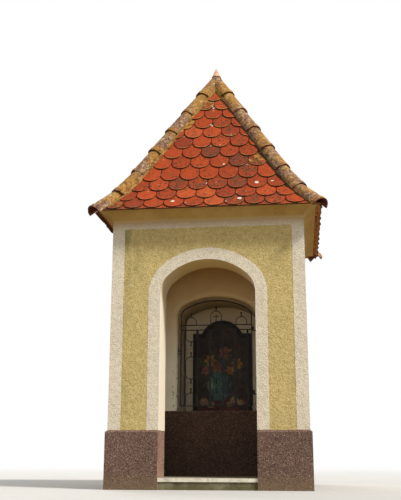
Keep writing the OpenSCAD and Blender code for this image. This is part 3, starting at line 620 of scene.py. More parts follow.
def fired_clay_tile():
    mottle_wide = 0.035
    blotch_wide = 0.07
    speck_spacing = 0.02
    crust_wide = 0.0625
    patch_wide = 0.0714
    finish, place = new_finish("fired_clay_plain_tile")
    marks = add(finish, "Attribute", out="Color", attribute_name="tile_marks")
    joint_dirt_and_shade = marks.node.outputs["Alpha"]
    tone = add(finish, "SeparateColor", {"Color": marks}, out="Red")
    rim = tone.node.outputs["Green"]
    growth = tone.node.outputs["Blue"]
    clay = add(finish, "ValToRGB", {"Fac": tone}, stops=[
        (0.0, "#85331A"), (0.15, "#923918"), (0.5, "#9B3C17"), (0.85, "#A4421B"), (1.0, "#AC4D25")])
    # Weather has mottled the clay in patches a thumb wide.
    mottle = add(finish, "TexNoise", {"Vector": place, "Scale": 1 / mottle_wide, "Detail": 7.0,
                                      "Roughness": 0.7}, out="Fac")
    shade = add(finish, "ValToRGB", {"Fac": mottle}, stops=[
        (0.3, 0.66), (0.48, 0.94), (0.6, 1.05), (0.75, 1.16)])
    colour = add(finish, "Mix", {0: 1.0, 6: clay, 7: shade}, **multiply_colours)
    # Grey-brown algae lie in soft blotches as wide as two fingers, on some tiles only.
    blotches = add(finish, "TexNoise", {"Vector": place, "Scale": 1 / blotch_wide, "Detail": 3.0}, out="Fac")
    some = add(finish, "MapRange", {"Value": growth, 1: 0.6, 2: 1.0, 3: -0.13, 4: 0.09})
    grown_over = add(finish, "Math", {0: blotches, 1: some}, operation="ADD")
    algae = add(finish, "MapRange", {"Value": grown_over, 1: 0.45, 2: 0.62, 3: 0.0, 4: 0.7})
    colour = add(finish, "Mix", {0: algae, 6: colour, 7: linear("#5C3A24")}, **mix_colours)
    # Dark lichen sits in specks of 5 to 10 mm, drawn a little coarser so that they show,
    # more of them on some tiles.
    specks = add(finish, "TexNoise", {"Vector": place, "Scale": 1 / speck_spacing, "Detail": 3.0,
                                      "Roughness": 0.55}, out="Fac")
    more = add(finish, "MapRange", {"Value": growth, 3: -0.03, 4: 0.06})
    crowded = add(finish, "Math", {0: specks, 1: more}, operation="ADD")
    dark = add(finish, "MapRange", {"Value": crowded, 1: 0.575, 2: 0.635, 3: 0.0, 4: 0.85})
    colour = add(finish, "Mix", {0: dark, 6: colour, 7: linear("#3A2A1C")}, **mix_colours)
    # Ochre lichen has spread over a few tiles beside the hips.
    crust = add(finish, "TexNoise", {"Vector": place, "Scale": 1 / crust_wide, "Detail": 5.0,
                                     "Roughness": 0.6}, out="Fac")
    grown = add(finish, "MapRange", {"Value": growth, 1: 1.0, 2: 1.6, 3: -0.35, 4: 0.02})
    crust = add(finish, "Math", {0: crust, 1: grown}, operation="ADD")
    ochre = add(finish, "MapRange", {"Value": crust, 1: 0.48, 2: 0.56, 3: 0.0, 4: 0.8})
    colour = add(finish, "Mix", {0: ochre, 6: colour, 7: linear("#A17A33")}, **mix_colours)
    # The tails are worn paler along their edge, and yellow-green lichen lines them, more of
    # it towards the apex.
    worn = add(finish, "MapRange", {"Value": rim, 1: 0.55, 2: 0.8, 3: 0.0, 4: 0.45})
    colour = add(finish, "Mix", {0: worn, 6: colour, 7: linear("#B06A42")}, **mix_colours)
    across = add(finish, "SeparateXYZ", {"Vector": place}, out="X")
    higher = add(finish, "MapRange", {"Value": across.node.outputs["Z"], 1: 2.5, 2: 3.7, 3: -0.24, 4: 0.12})
    patchy = add(finish, "TexNoise", {"Vector": place, "Scale": 1 / patch_wide, "Detail": 5.0}, out="Fac")
    edge = add(finish, "Math", {0: rim, 1: higher}, operation="ADD")
    edge = add(finish, "Math", {0: edge, 1: patchy}, operation="ADD")
    lichen = add(finish, "MapRange", {"Value": edge, 1: 1.15, 2: 1.4, 3: 0.0, 4: 0.85})
    colour = add(finish, "Mix", {0: lichen, 6: colour, 7: linear("#A08243")}, **mix_colours)
    # Pale lichen rosettes are a thumb wide; most tiles have none. Birds have left a few
    # white runs besides, a finger wide and a hand long, and faint dots as small as a pea.
    flat = add(finish, "Attribute", out="Vector", attribute_name="tile_place")
    ragged = add(finish, "MapRange", {"Value": specks, 3: -0.07, 4: 0.07})
    for spot_wide, spot_long, chance, size, ink in [
            (0.15, 0.15, 0.84, 0.13, 0.95), (0.22, 1.7, 0.8, 0.045, 0.7), (0.09, 0.09, 0.78, 0.09, 0.38)]:
        spread = add(finish, "Mapping", {"Vector": flat, "Scale": (1 / spot_wide, 1 / spot_long, 1.0)})
        cells = add(finish, "TexVoronoi", {"Vector": spread, "Scale": 1.0, "Randomness": 1.0}, out="Distance",
                    feature="F1", voronoi_dimensions="2D")
        lot = add(finish, "SeparateColor", {"Color": cells.node.outputs["Color"]}, out="Red")
        rough_off = add(finish, "Math", {0: cells, 1: ragged}, operation="ADD")
        limit = add(finish, "MapRange", {"Value": lot, 1: chance, 2: 1.0, 3: 0.0, 4: size})
        chosen = add(finish, "Math", {0: lot, 1: chance}, operation="GREATER_THAN")
        inside = add(finish, "Math", {0: rough_off, 1: limit}, operation="LESS_THAN")
        spotted = add(finish, "Math", {0: inside, 1: chosen}, operation="MULTIPLY")
        spotted = add(finish, "Math", {0: spotted, 1: ink}, operation="MULTIPLY")
        colour = add(finish, "Mix", {0: spotted, 6: colour, 7: linear("#C9C4B2")}, **mix_colours)
    # The joints are darkened, with dirt and painted shade, and the cut ends of the tails, which face down,
    # are painted black, as painted shade.
    facing = add(finish, "NewGeometry", out="Normal")
    upward = add(finish, "SeparateXYZ", {"Vector": facing}, out="Z")
    cut_end_shade = add(finish, "MapRange", {"Value": upward, 1: 0.25, 2: -0.1, 3: 0.0, 4: 1.0})
    shade_and_joint_dirt = add(finish, "Math", {0: cut_end_shade, 1: joint_dirt_and_shade}, operation="MAXIMUM")
    shade_and_joint_dirt = add(finish, "Math", {0: shade_and_joint_dirt, 1: 0.85}, operation="MULTIPLY")
    colour = add(finish, "Mix", {0: shade_and_joint_dirt, 6: colour, 7: linear("#3A2218")}, **mix_colours)
    # The undersides, which face down and inward, show at the eaves as clean brown clay; those
    # on the left keep the black of the cut ends, as painted shade.
    level = add(finish, "VectorMath", {0: place, 1: (1.0, 1.0, 0.0)}, operation="MULTIPLY")
    outward = add(finish, "VectorMath", {0: facing, 1: level}, out="Value", operation="DOT_PRODUCT")
    inward = add(finish, "Math", {0: outward, 1: 0.0}, operation="LESS_THAN")
    downward = add(finish, "Math", {0: upward, 1: -0.3}, operation="LESS_THAN")
    unshaded_right = add(finish, "MapRange", {"Value": across, 1: -1.0, 2: -0.75, 3: 0.1, 4: 1.0})
    underside = add(finish, "Math", {0: inward, 1: downward}, operation="MULTIPLY")
    underside = add(finish, "Math", {0: underside, 1: unshaded_right}, operation="MULTIPLY")
    bare_clay = add(finish, "Mix", {0: 1.0, 6: linear("#BA7C46"), 7: shade}, **multiply_colours)
    colour = add(finish, "Mix", {0: underside, 6: colour, 7: bare_clay}, **mix_colours)
    relief = add(finish, "Math", {0: mottle, 1: specks}, operation="ADD")
    return complete(finish, colour, relief, 0.0022, Roughness=0.82, Specular_IOR_Level=0.15)


tile_finish = fired_clay_tile()
for quarter, side in enumerate(["front", "right", "back", "left"]):
    tile_points, tile_faces, tile_marks, tile_places = tile_slope(quarter)
    field = make_piece("roof_tiles_" + side, tile_points, tile_faces, tile_finish, "roof_tile", crease=35.0)
    marks_layer = field.data.color_attributes.new("tile_marks", "FLOAT_COLOR", "POINT")
    marks_layer.data.foreach_set("color", [v for mark in tile_marks for v in mark])
    place_layer = field.data.attributes.new("tile_place", "FLOAT_VECTOR", "POINT")
    place_layer.data.foreach_set("vector", [v for spot in tile_places for v in spot])


def clay_soffit():
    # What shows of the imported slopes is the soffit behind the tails, with blobs of mortar.
    blob = 0.0625
    finish, place = new_finish("clay_underside_with_mortar")
    blobs = add(finish, "TexNoise", {"Vector": place, "Scale": 1 / blob, "Detail": 4.0}, out="Fac")
    colour = add(finish, "ValToRGB", {"Fac": blobs}, stops=[
        (0.35, "#764126"), (0.5, "#92532C"), (0.62, "#AF8044"), (0.75, "#BDA06E")])
    return complete(finish, colour, blobs, 0.006, Roughness=0.9, Specular_IOR_Level=0.25)


dress(clay_soffit(), "roof_front", "roof_back", "roof_left", "roof_right")

# Hips: seven half-round clay tiles on each, laid from the eave up in lime mortar, every
# collar lapping over the tile below. Yellow and grey lichen has crusted them all over.
hip_low = 0.082
hip_top = 0.070
hip_wall = 0.008
hip_overlap = 0.036
hip_axis_depth = 0.028
hip_nose = 0.005
hip_exposure = 0.324
collar_long = 0.045
collar_high = 0.005
collar_slope = 0.005
skin_steps = 14
arc_steps = 24
cone_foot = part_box("apex_cone")[0][2]
# A hip runs out by this much more than the slopes beside it.
root_two = math.sqrt(2)


def hip_height(out):
    """Height of the hip line that far out along both sides."""
    if out < bell_top[0]:
        return apex_z - out * math.tan(pitch)
    return bell_centre[1] - math.sqrt(bell_radius ** 2 - (bell_centre[0] - out) ** 2)


def hip_lean(out):
    """Angle of the hip line above the level, that far out."""
    slope = pitch if out < bell_top[0] else math.asin((bell_centre[0] - out) / bell_radius)
    return math.atan(math.tan(slope) / root_two)


hip_end = eave_out + hip_nose
hip_length = math.hypot(root_two * hip_end, apex_z - hip_height(hip_end))
hip_count = round(hip_length / hip_exposure)
hip_spacing = hip_length / hip_count
# How far out each tile's foot lies: every step follows the lean half a tile further up.
hip_feet = [hip_end]
for _ in range(hip_count):
    foot_out = hip_feet[-1]
    half_step = hip_spacing * math.cos(hip_lean(foot_out)) / root_two / 2
    hip_feet.append(foot_out - hip_spacing * math.cos(hip_lean(foot_out - half_step)) / root_two)


def hip_tile(k, rng, hip):
    """Rings of points of tile k on the hip towards +X: its outer skin up, then its inner skin down."""
    out, above = hip_feet[k], hip_feet[k + 1]
    lean = math.atan2(hip_height(above) - hip_height(out), root_two * (out - above))
    foot = Vector((root_two * out, 0.0, hip_height(out)))
    along = Vector((-math.cos(lean), 0.0, math.sin(lean)))
    outward = Vector((math.sin(lean), 0.0, math.cos(lean)))
    sideways = Vector((0.0, 1.0, 0.0))
    full = hip_spacing + hip_overlap
    fall = (hip_low - hip_top) / full
    # The collar's rim is rounded at both ends; above it the tile tapers to its head.
    crest = hip_low + collar_high
    taper = collar_long + collar_slope
    skin = [(0.0, crest - 0.002), (0.003, crest), (collar_long - 0.004, crest - 0.001),
            (collar_long, crest - 0.003), (taper, hip_low - fall * collar_long)]
    for i in range(1, skin_steps + 1):
        v = taper + (full - taper) * i / skin_steps
        skin.append((v, hip_low - fall * v))
    inner = [(full, hip_top - hip_wall), (full / 2, (hip_low + hip_top) / 2 - hip_wall),
             (0.0, hip_low - hip_wall)]
    # No tile lies quite straight or at quite the same depth in its bed.
    twist = rng.uniform(-0.03, 0.03)
    shift = rng.uniform(-0.002, 0.002)
    rings = []
    for number, (v, radius) in enumerate(skin + inner):
        ring = []
        for j in range(arc_steps + 1):
            phi = math.pi * j / arc_steps
            rise = math.sin(phi) * radius - hip_axis_depth + shift
            spot = foot + along * v + outward * rise + sideways * (math.cos(phi) * radius + twist * v)
            if number < len(skin):
                # Lichen and hand-forming leave lumps of up to 4 mm, and a ragged foot.
                seed = spot + Vector((hip * 3.1, k * 1.7, 0.0))
                lump = 0.0026 * noise.noise(seed * 22) + 0.0014 * noise.noise(seed * 70)
                spot += (outward * math.sin(phi) + sideways * math.cos(phi)) * lump
                if number < 2:
                    spot += along * 0.004 * noise.noise(seed * 30)
            ring.append(spot)
        rings.append(ring)
    return rings


def cut_off(part, point, normal):
    """Cuts away what lies beyond a plane and closes the cut."""
    everything = part.verts[:] + part.edges[:] + part.faces[:]
    cut = bmesh.ops.bisect_plane(part, geom=everything, plane_co=point, plane_no=normal, clear_outer=True)
    edges = [g for g in cut["geom_cut"] if isinstance(g, bmesh.types.BMEdge)]
    if edges:
        bmesh.ops.holes_fill(part, edges=edges, sides=0)


def hip_row(hip, angle):
    """The mesh of one hip's tiles, cut where the four hips meet and under the cone."""
    rng = random.Random(70 + hip)
    mesh = bmesh.new()
    for k in range(hip_count):
        part = bmesh.new()
        rings = [[part.verts.new(p) for p in ring] for ring in hip_tile(k, rng, hip)]
        for a, b in zip(rings, rings[1:] + rings[:1]):
            for j in range(arc_steps):
                part.faces.new((a[j], a[j + 1], b[j + 1], b[j]))
        part.faces.new([ring[0] for ring in rings])
        part.faces.new([ring[-1] for ring in reversed(rings)])
        if k == hip_count - 1:
            for normal in [(-1, 1, 0), (-1, -1, 0)]:
                cut_off(part, (0, 0, 0), normal)
            cut_off(part, (0, 0, cone_foot), (0, 0, 1))
        bmesh.ops.recalc_face_normals(part, faces=part.faces)
        loose = bpy.data.meshes.new("hip_tile")
        part.to_mesh(loose)
        mesh.from_mesh(loose)
        bpy.data.meshes.remove(loose)
        part.free()
    mesh.transform(Matrix.Rotation(angle, 4, "Z"))
    mesh.verts.index_update()
    points = [tuple(v.co) for v in mesh.verts]
    faces = [[v.index for v in f.verts] for f in mesh.faces]
    mesh.free()
    return points, faces


def lichened_clay():
    # Crusts of lichen lie in patches two fingers wide and in flecks: brown clay laid bare,
    # grey, ochre and pale; each tile or two has more of one of them, the top ones of ochre.
    region = 0.238
    crust = 0.036
    fleck = 0.014
    finish, place = new_finish("lichened_half_round_tile")
    regions = add(finish, "TexNoise", {"Vector": place, "Scale": 1 / region, "Detail": 2.0,
                                       "Roughness": 0.5}, out="Fac")
    patches = add(finish, "TexNoise", {"Vector": place, "Scale": 1 / crust, "Detail": 6.0,
                                       "Roughness": 0.7, "Distortion": 0.6}, out="Fac")
    flecks = add(finish, "TexNoise", {"Vector": place, "Scale": 1 / fleck, "Detail": 4.0,
                                      "Roughness": 0.7}, out="Fac")
    bare = add(finish, "ValToRGB", {"Fac": patches}, stops=[
        (0.34, "#50362A"), (0.44, "#6F4F40"), (0.51, "#86664D"), (0.58, "#9B7C5B"), (0.66, "#B59A77")])
    yellow = add(finish, "ValToRGB", {"Fac": patches}, stops=[
        (0.34, "#68462A"), (0.44, "#875F2A"), (0.52, "#9A7136"), (0.6, "#A8844B"), (0.68, "#BAA074")])
    height = add(finish, "SeparateXYZ", {"Vector": place}, out="Z")
    higher = add(finish, "MapRange", {"Value": height, 1: 3.2, 2: 4.1, 3: 0.0, 4: 0.12})
    ragged = add(finish, "MapRange", {"Value": flecks, 3: -0.12, 4: 0.12})
    spread = add(finish, "Math", {0: regions, 1: ragged}, operation="ADD")
    spread = add(finish, "Math", {0: spread, 1: higher}, operation="ADD")
    yellowed = add(finish, "MapRange", {"Value": spread, 1: 0.43, 2: 0.59})
    colour = add(finish, "Mix", {0: yellowed, 6: bare, 7: yellow}, **mix_colours)
    # Where the crust is yellow, flecks of orange lichen as small as a lentil stand in it.
    orange = add(finish, "MapRange", {"Value": flecks, 1: 0.5, 2: 0.6, 3: 0.0, 4: 0.65})
    orange = add(finish, "Math", {0: orange, 1: yellowed}, operation="MULTIPLY")
    colour = add(finish, "Mix", {0: orange, 6: colour, 7: linear("#A66E28")}, **mix_colours)
    grain = add(finish, "ValToRGB", {"Fac": flecks}, stops=[(0.33, 0.6), (0.5, 1.0), (0.66, 1.25)])
    colour = add(finish, "Mix", {0: 1.0, 6: colour, 7: grain}, **multiply_colours)
    # Pale grey lichen stands highest.
    relief = add(finish, "Math", {0: patches, 1: flecks}, operation="ADD")
    pale = add(finish, "MapRange", {"Value": relief, 1: 1.15, 2: 1.23, 3: 0.0, 4: 0.7})
    colour = add(finish, "Mix", {0: pale, 6: colour, 7: linear("#C0AF91")}, **mix_colours)
    # None grows on the undersides, which are painted dark red-brown, as bare clay in painted shade.
    upward = add(finish, "SeparateXYZ", {"Vector": add(finish, "NewGeometry", out="Normal")}, out="Z")
    underside = add(finish, "MapRange", {"Value": upward, 1: 0.0, 2: -0.3, 3: 0.0, 4: 1.0})
    colour = add(finish, "Mix", {0: underside, 6: colour, 7: linear("#5A2C1C")}, **mix_colours)
    return complete(finish, colour, relief, 0.005, Roughness=0.9, Specular_IOR_Level=0.25)


hip_finish = lichened_clay()
hip_sides = [("back_right", 45), ("back_left", 135), ("front_left", 225), ("front_right", 315)]
for hip, (side, degrees) in enumerate(hip_sides):
    row_points, row_faces = hip_row(hip, math.radians(degrees))
    row = make_piece("hip_tile_row_" + side, row_points, row_faces, hip_finish, "hip_tile", crease=50.0)
    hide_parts("hip_tiles_" + side)


def trowelled_lime_mortar():
    # Dark and pale patches as wide as the trowel's tip lie side by side in it.
    patch = 0.0556
    finish, place = new_finish("trowelled_lime_mortar")
    patches = add(finish, "TexNoise", {"Vector": place, "Scale": 1 / patch, "Detail": 6.0, "Roughness": 0.7},
                  out="Fac")
    colour = add(finish, "ValToRGB", {"Fac": patches}, stops=[
        (0.3, "#503822"), (0.42, "#7A572B"), (0.52, "#92723A"), (0.64, "#A38749"), (0.75, "#B5A073")])
    # On the right of the shrine it is painted dark, as painted shade in the gap beside the hip.
    across = add(finish, "SeparateXYZ", {"Vector": place}, out="X")
    right_gap_shade = add(finish, "MapRange", {"Value": across, 1: 0.0, 2: 0.12, 3: 0.0, 4: 0.85})
    colour = add(finish, "Mix", {0: right_gap_shade, 6: colour, 7: linear("#33261B")}, **mix_colours)
    return complete(finish, colour, patches, 0.006, Roughness=0.95, Specular_IOR_Level=0.25)


dress(trowelled_lime_mortar(), "hip_mortar")

# Apex: a small cone of fired clay, thrown on the wheel and bedded on the hip tiles. It
# is newer than they are and still salmon pink, with a little lichen at its foot.


def thrown_pink_clay():
    # The kiln has clouded it in patches a thumb wide.
    cloud = 0.0333
    finish, place = new_finish("thrown_pink_clay")
    clouds = add(finish, "TexNoise", {"Vector": place, "Scale": 1 / cloud, "Detail": 5.0}, out="Fac")
    colour = add(finish, "ValToRGB", {"Fac": clouds}, stops=[
        (0.3, "#B97F60"), (0.5, "#D1997B"), (0.7, "#E2B497")])
    height = add(finish, "SeparateXYZ", {"Vector": place}, out="Z")
    foot = add(finish, "MapRange", {"Value": height, 1: cone_foot, 2: cone_foot + 0.03, 3: 0.5, 4: 0.0})
    colour = add(finish, "Mix", {0: foot, 6: colour, 7: linear("#9A8550")}, **mix_colours)
    return complete(finish, colour, clouds, 0.001, Roughness=0.75)


dress(thrown_pink_clay(), "apex_cone")

# Picture: an oil painting on a board with a rounded head, in a dark stained moulding. It
# shows a jar of lilies and roses with fruit on a red cloth, under a brown old varnish.


def stained_moulding():
    # The grain runs up the sides, in bands 6 mm wide.
    grain_wide = 0.006
    grain_long = 0.12
    finish, place = new_finish("stained_oak_moulding")
    stretch = add(finish, "Mapping", {"Vector": place,
                                      "Scale": (1 / grain_wide, 1 / grain_wide, 1 / grain_long)})
    grain = add(finish, "TexNoise", {"Vector": stretch, "Scale": 1.0, "Detail": 4.0}, out="Fac")
    colour = add(finish, "ValToRGB", {"Fac": grain}, stops=[
        (0.3, "#150D08"), (0.55, "#21140C"), (0.75, "#302014")])
    return complete(finish, colour, grain, 0.0008, Roughness=0.5, Specular_IOR_Level=0.3)


dress(stained_moulding(), "picture_frame")


def oil_paint(name, dark, middle, light):
    """Varnished oil paint in brush strokes 8 mm wide and 40 mm long."""
    stroke = (0.008, 0.02, 0.04)
    cloud = 0.111
    finish, place = new_finish(name)
    strokes = add(finish, "Mapping", {"Vector": place, "Rotation": (0.0, 0.6, 0.0),
                                      "Scale": tuple(1 / size for size in stroke)})
    brush = add(finish, "TexNoise", {"Vector": strokes, "Scale": 1.0, "Detail": 5.0}, out="Fac")
    clouds = add(finish, "TexNoise", {"Vector": place, "Scale": 1 / cloud, "Detail": 3.0}, out="Fac")
    both = add(finish, "Math", {0: brush, 1: clouds}, operation="ADD")
    half = add(finish, "Math", {0: both, 1: 0.5}, operation="MULTIPLY")
    colour = add(finish, "ValToRGB", {"Fac": half}, stops=[(0.38, dark), (0.5, middle), (0.62, light)])
    return complete(finish, colour, brush, 0.0008, Roughness=0.45, Specular_IOR_Level=0.3)


dress(oil_paint("oil_paint_umber_ground", "#251811", "#3A2819", "#553C26"), "picture_panel")
panel_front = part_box("picture_panel")[0][1]
panel_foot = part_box("picture_panel")[0][2]
coat = 0.0004


def flat_shapes(name, outlines, finish, layer):
    """Flat painted shapes on the board; each outline is a ring of points (x, z) and layer its coat."""
    points, faces = [], []
    for i, outline in enumerate(outlines):
        first = len(points)
        n = len(outline)
        # Each shape lies a touch higher than the last, as one stroke over another.
        for depth in (0.0001, coat * layer + 0.00001 * i):
            points += [(x, panel_front - depth, z) for x, z in outline]
        faces.append([first + n + j for j in range(n)])
        faces.append([first + j for j in range(n)][::-1])
        faces += [(first + j, first + (j + 1) % n, first + n + (j + 1) % n, first + n + j) for j in range(n)]
    return make_piece(name, points, faces, finish, "painted_panel")


def leaf(x, z, angle, length, width):
    """Outline of a leaf or petal that points at the given angle, in degrees from level."""
    turn = math.radians(angle)
    outline = []
    for i in range(16):
        t = i / 16
        reach = (t if t < 0.5 else 1 - t) * 2
        side = math.sin(math.pi * reach) * width / 2 * (1 if t < 0.5 else -1)
        outline.append((x + reach * length * math.cos(turn) - side * math.sin(turn),
                        z + reach * length * math.sin(turn) + side * math.cos(turn)))
    return outline


def disc(x, z, radius):
    """Outline of a fruit, a little flattened."""
    angles = [math.tau * i / 20 for i in range(20)]
    return [(x + radius * math.cos(a), z + 0.9 * radius * math.sin(a)) for a in angles]


# Shapes are placed by their distance across the board and their height over its foot; the
# flowers and fruits add a radius.
cloth_half = 0.262
cloth_high = 0.115
jar_x = -0.03
jar_foot = panel_foot + 0.10
flowers = [(-0.12, 0.50, 0.07), (0.03, 0.58, 0.075), (0.15, 0.47, 0.065), (-0.05, 0.43, 0.06),
           (0.08, 0.40, 0.055), (-0.17, 0.40, 0.05)]
fruits = [(0.12, 0.10, 0.042), (0.185, 0.075, 0.036), (-0.19, 0.085, 0.044), (0.07, 0.06, 0.034),
          (-0.12, 0.055, 0.036)]

cloth = [(-cloth_half, panel_foot + 0.001), (cloth_half, panel_foot + 0.001)] + [
    (cloth_half * (1 - i / 8), panel_foot + cloth_high + 0.012 * math.sin(i * 1.3)) for i in range(17)]
flat_shapes("picture_cloth", [cloth], oil_paint("oil_paint_madder", "#341812", "#54261B", "#713A28"), 1)

stems = [leaf(jar_x, panel_foot + 0.38, 90 - 420 * (x - jar_x), 0.22 + abs(x) * 0.5, 0.05)
         for x, _, _ in flowers]
sprays = [leaf(x * 0.6, panel_foot + z - 0.09, angle, 0.13, 0.045)
          for x, z, _ in flowers for angle in (40, 140, 215)]
flat_shapes("picture_leaves", stems + sprays,
            oil_paint("oil_paint_olive", "#26251A", "#3A3A26", "#525234"), 2)

# Half of the footed jar's profile: radius and height over the cloth.
jar_profile = [(0.062, 0.0), (0.054, 0.02), (0.095, 0.06), (0.122, 0.12), (0.124, 0.17), (0.098, 0.225),
               (0.062, 0.262), (0.056, 0.282), (0.076, 0.305)]
jar = [(jar_x + r, jar_foot + h) for r, h in jar_profile] + [
    (jar_x - r, jar_foot + h) for r, h in reversed(jar_profile)]
flat_shapes("picture_jar", [jar], oil_paint("oil_paint_teal", "#33504E", "#4F7470", "#7A9C96"), 3)

petals = [[leaf(x, panel_foot + z, a + 30 * i, r, r * 0.6) for a in range(0, 360, 60)]
          for i, (x, z, r) in enumerate(flowers)]
flat_shapes("picture_lilies", [p for flower in petals[::2] for p in flower],
            oil_paint("oil_paint_ochre", "#6B4A22", "#95692F", "#B58B4E"), 4)
flat_shapes("picture_roses", [p for flower in petals[1::2] for p in flower],
            oil_paint("oil_paint_rose", "#5A3226", "#804A38", "#A3715C"), 5)
flat_shapes("picture_fruits", [disc(x, panel_foot + z, r) for x, z, r in fruits],
            oil_paint("oil_paint_pale_flesh", "#6E5238", "#977655", "#BFA27C"), 6)

# Shades model the jar's far side, the hearts of the flowers and the foot of each fruit;
# the last coat sets the lights on them.
jar_shades = [leaf(jar_x + 0.088, panel_foot + 0.17, 90, 0.15, 0.045),
              leaf(jar_x + 0.066, panel_foot + 0.155, 90, 0.18, 0.04)]
flat_shapes("picture_jar_shades", jar_shades,
            oil_paint("oil_paint_deep_teal", "#2B4342", "#3E5C5A", "#557A75"), 7)
hearts = [disc(x, panel_foot + z, 0.2 * r) for x, z, r in flowers]
under_fruits = [leaf(x - r, panel_foot + z - 0.9 * r, 0, 2.2 * r, 0.3 * r) for x, z, r in fruits]
flat_shapes("picture_shades", hearts + under_fruits,
            oil_paint("oil_paint_brown_shade", "#231A12", "#33261B", "#463424"), 8)
jar_light = leaf(jar_x - 0.078, panel_foot + 0.20, 88, 0.11, 0.014)
anthers = [disc(x + 0.04 * r, panel_foot + z + 0.05 * r, 0.07 * r) for x, z, r in flowers]
on_fruits = [disc(x - 0.35 * r, panel_foot + z + 0.35 * r, 0.2 * r) for x, z, r in fruits]
flat_shapes("picture_lights", [jar_light] + anthers + on_fruits,
            oil_paint("oil_paint_pale_light", "#8D7A57", "#AF9B72", "#CDBD96"), 9)

# Gate: forged from flat, square and round bar, riveted and fire-welded, its arches and
# rings bent from the round, and brushed with black paint that has gone dull. The padlock
# on it is galvanised steel.


def brushed_black_paint():
    # Hammer marks are 20 mm across, and rust comes through in spots twice as wide.
    hammer_mark = 0.02
    rust_spot = 0.0455
    finish, place = new_finish("black_paint_on_forged_iron")
    hammer = add(finish, "TexNoise", {"Vector": place, "Scale": 1 / hammer_mark, "Detail": 4.0}, out="Fac")
    paint = add(finish, "ValToRGB", {"Fac": hammer}, stops=[
        (0.3, "#141415"), (0.55, "#1F1F21"), (0.75, "#2D2C2D")])
    rust = add(finish, "TexNoise", {"Vector": place, "Scale": 1 / rust_spot, "Detail": 6.0, "Roughness": 0.7},
               out="Fac")
    rusty = add(finish, "MapRange", {"Value": rust, 1: 0.62, 2: 0.7, 3: 0.0, 4: 0.6})
    colour = add(finish, "Mix", {0: rusty, 6: paint, 7: linear("#4A2F22")}, **mix_colours)
    gloss = add(finish, "MapRange", {"Value": hammer, 1: 0.3, 2: 0.7, 3: 0.48, 4: 0.68})
    return complete(finish, colour, hammer, 0.0008, Roughness=gloss, Specular_IOR_Level=0.3)


dress(brushed_black_paint(), "gate_frame", "gate_bars", "gate_rings", "gate_arches", "gate_crest",
      "gate_hinge_eyes", "gate_lug", "hinge_pintles", "lock_staple")


def galvanised_lock_body():
    # The zinc has set in spangles of 5 mm.
    spangle = 0.005
    finish, place = new_finish("dull_galvanised_steel")
    tint = add(finish, "TexVoronoi", {"Vector": place, "Scale": 1 / spangle}, out="Color", feature="F1")
    grey = add(finish, "SeparateColor", {"Color": tint}, out=0)
    colour = add(finish, "ValToRGB", {"Fac": grey}, stops=[(0.0, "#4C4E47"), (1.0, "#6C6E66")])
    return complete(finish, colour, grey, 0.0002, Metallic=0.8, Roughness=0.5)


dress(galvanised_lock_body(), "padlock")

# Studio: a pale floor that fades into a white surround, a broad key light from the right
# and high up, an even fill from all round and a weak light from behind, so that each
# colour renders about as it is written.
floor_half = 60.0
floor_corners = [(-1, -1), (1, -1), (1, 1), (-1, 1)]
floor_mesh = bpy.data.meshes.new("studio_floor")
floor_mesh.from_pydata([(x * floor_half, y * floor_half, 0.0) for x, y in floor_corners],
                       [], [(0, 1, 2, 3)])
floor = bpy.data.objects.new("studio_floor", floor_mesh)
bpy.context.scene.collection.objects.link(floor)


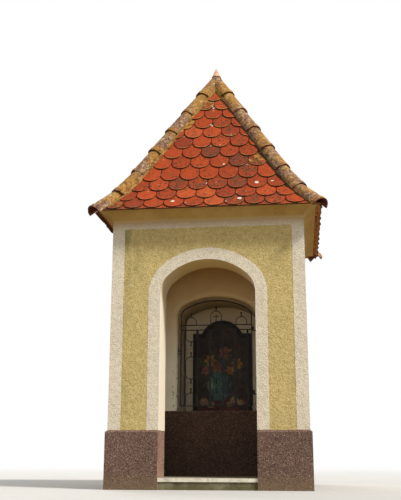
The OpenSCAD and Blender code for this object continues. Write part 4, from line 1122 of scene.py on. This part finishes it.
def pale_floor():
    # The eye sees it pale, but it throws a little less light back onto the walls.
    cloud = 1.25
    finish, place = new_finish("pale_studio_floor")
    clouds = add(finish, "TexNoise", {"Vector": place, "Scale": 1 / cloud, "Detail": 2.0}, out="Fac")
    colour = add(finish, "ValToRGB", {"Fac": clouds}, stops=[(0.3, "#B3B0AB"), (0.7, "#B8B5B0")])
    eye = add(finish, "LightPath", out="Is Camera Ray")
    colour = add(finish, "Mix", {0: eye, 6: linear("#8C877C"), 7: colour}, **mix_colours)
    far = add(finish, "VectorMath", {0: place}, out="Value", operation="LENGTH")
    fade = add(finish, "MapRange", {"Value": far, 1: 3.0, 2: 16.0}, interpolation_type="SMOOTHSTEP")
    fade = add(finish, "Math", {0: fade, 1: eye}, operation="MULTIPLY")
    matt = add(finish, "BsdfPrincipled", {"Base Color": colour, "Roughness": 0.9})
    white = add(finish, "Emission", {"Color": (1.0, 1.0, 1.0, 1.0), "Strength": 1.0})
    faded = add(finish, "MixShader", {0: fade, 1: matt, 2: white})
    add(finish, "OutputMaterial", {"Surface": faded})
    return finish


floor_mesh.materials.append(pale_floor())

# The surround is white to the eye and in mirrors, and lights the shrine more weakly.
scene = bpy.context.scene
fill_strength = 0.62
world = bpy.data.worlds.new("studio_surround")
scene.world = world
world.use_nodes = True
world.node_tree.nodes.clear()
rays = add(world, "LightPath").node.outputs
seen = add(world, "Math", {0: rays["Is Camera Ray"], 1: rays["Is Glossy Ray"]}, operation="MAXIMUM")
seen = add(world, "Math", {0: seen, 1: rays["Is Transmission Ray"]}, operation="MAXIMUM")
strength = add(world, "MapRange", {"Value": seen, 3: fill_strength, 4: 1.0})
surround = add(world, "Background", {"Color": (1.0, 1.0, 1.0, 1.0), "Strength": strength})
add(world, "OutputWorld", {"Surface": surround})


def distant_lamp(name, strength, width, height, bearing, colour):
    """A far lamp: its apparent width, height and bearing in degrees, from the front to the right."""
    lamp = bpy.data.lights.new(name, "SUN")
    lamp.energy = strength
    lamp.angle = math.radians(width)
    lamp.color = colour
    placed = bpy.data.objects.new(name, lamp)
    placed.rotation_euler = (math.radians(90 - height), 0.0, math.radians(bearing))
    scene.collection.objects.link(placed)


distant_lamp("key_light", 4.2, 10, 48, 60, (1.0, 0.985, 0.955))
distant_lamp("back_light", 0.9, 30, 35, 215, (1.0, 1.0, 1.0))

# Camera: a crouching viewer's, in front of the shrine and a little to the right, looking
# up. Its place, angles and focal length were solved from the edges of walls and roof.
image_height = 500
focal_pixels = 809.2
sensor = 36.0
camera = bpy.data.cameras.new("camera")
camera.sensor_width = sensor
camera.lens = focal_pixels / image_height * sensor
camera.clip_end = 400.0
viewer = bpy.data.objects.new("camera", camera)
viewer.location = (0.783, -7.811, 0.263)
viewer.rotation_euler = (math.radians(104.391), math.radians(-0.10), math.radians(6.898))
scene.collection.objects.link(viewer)
scene.camera = viewer
scene.view_settings.view_transform = "Standard"
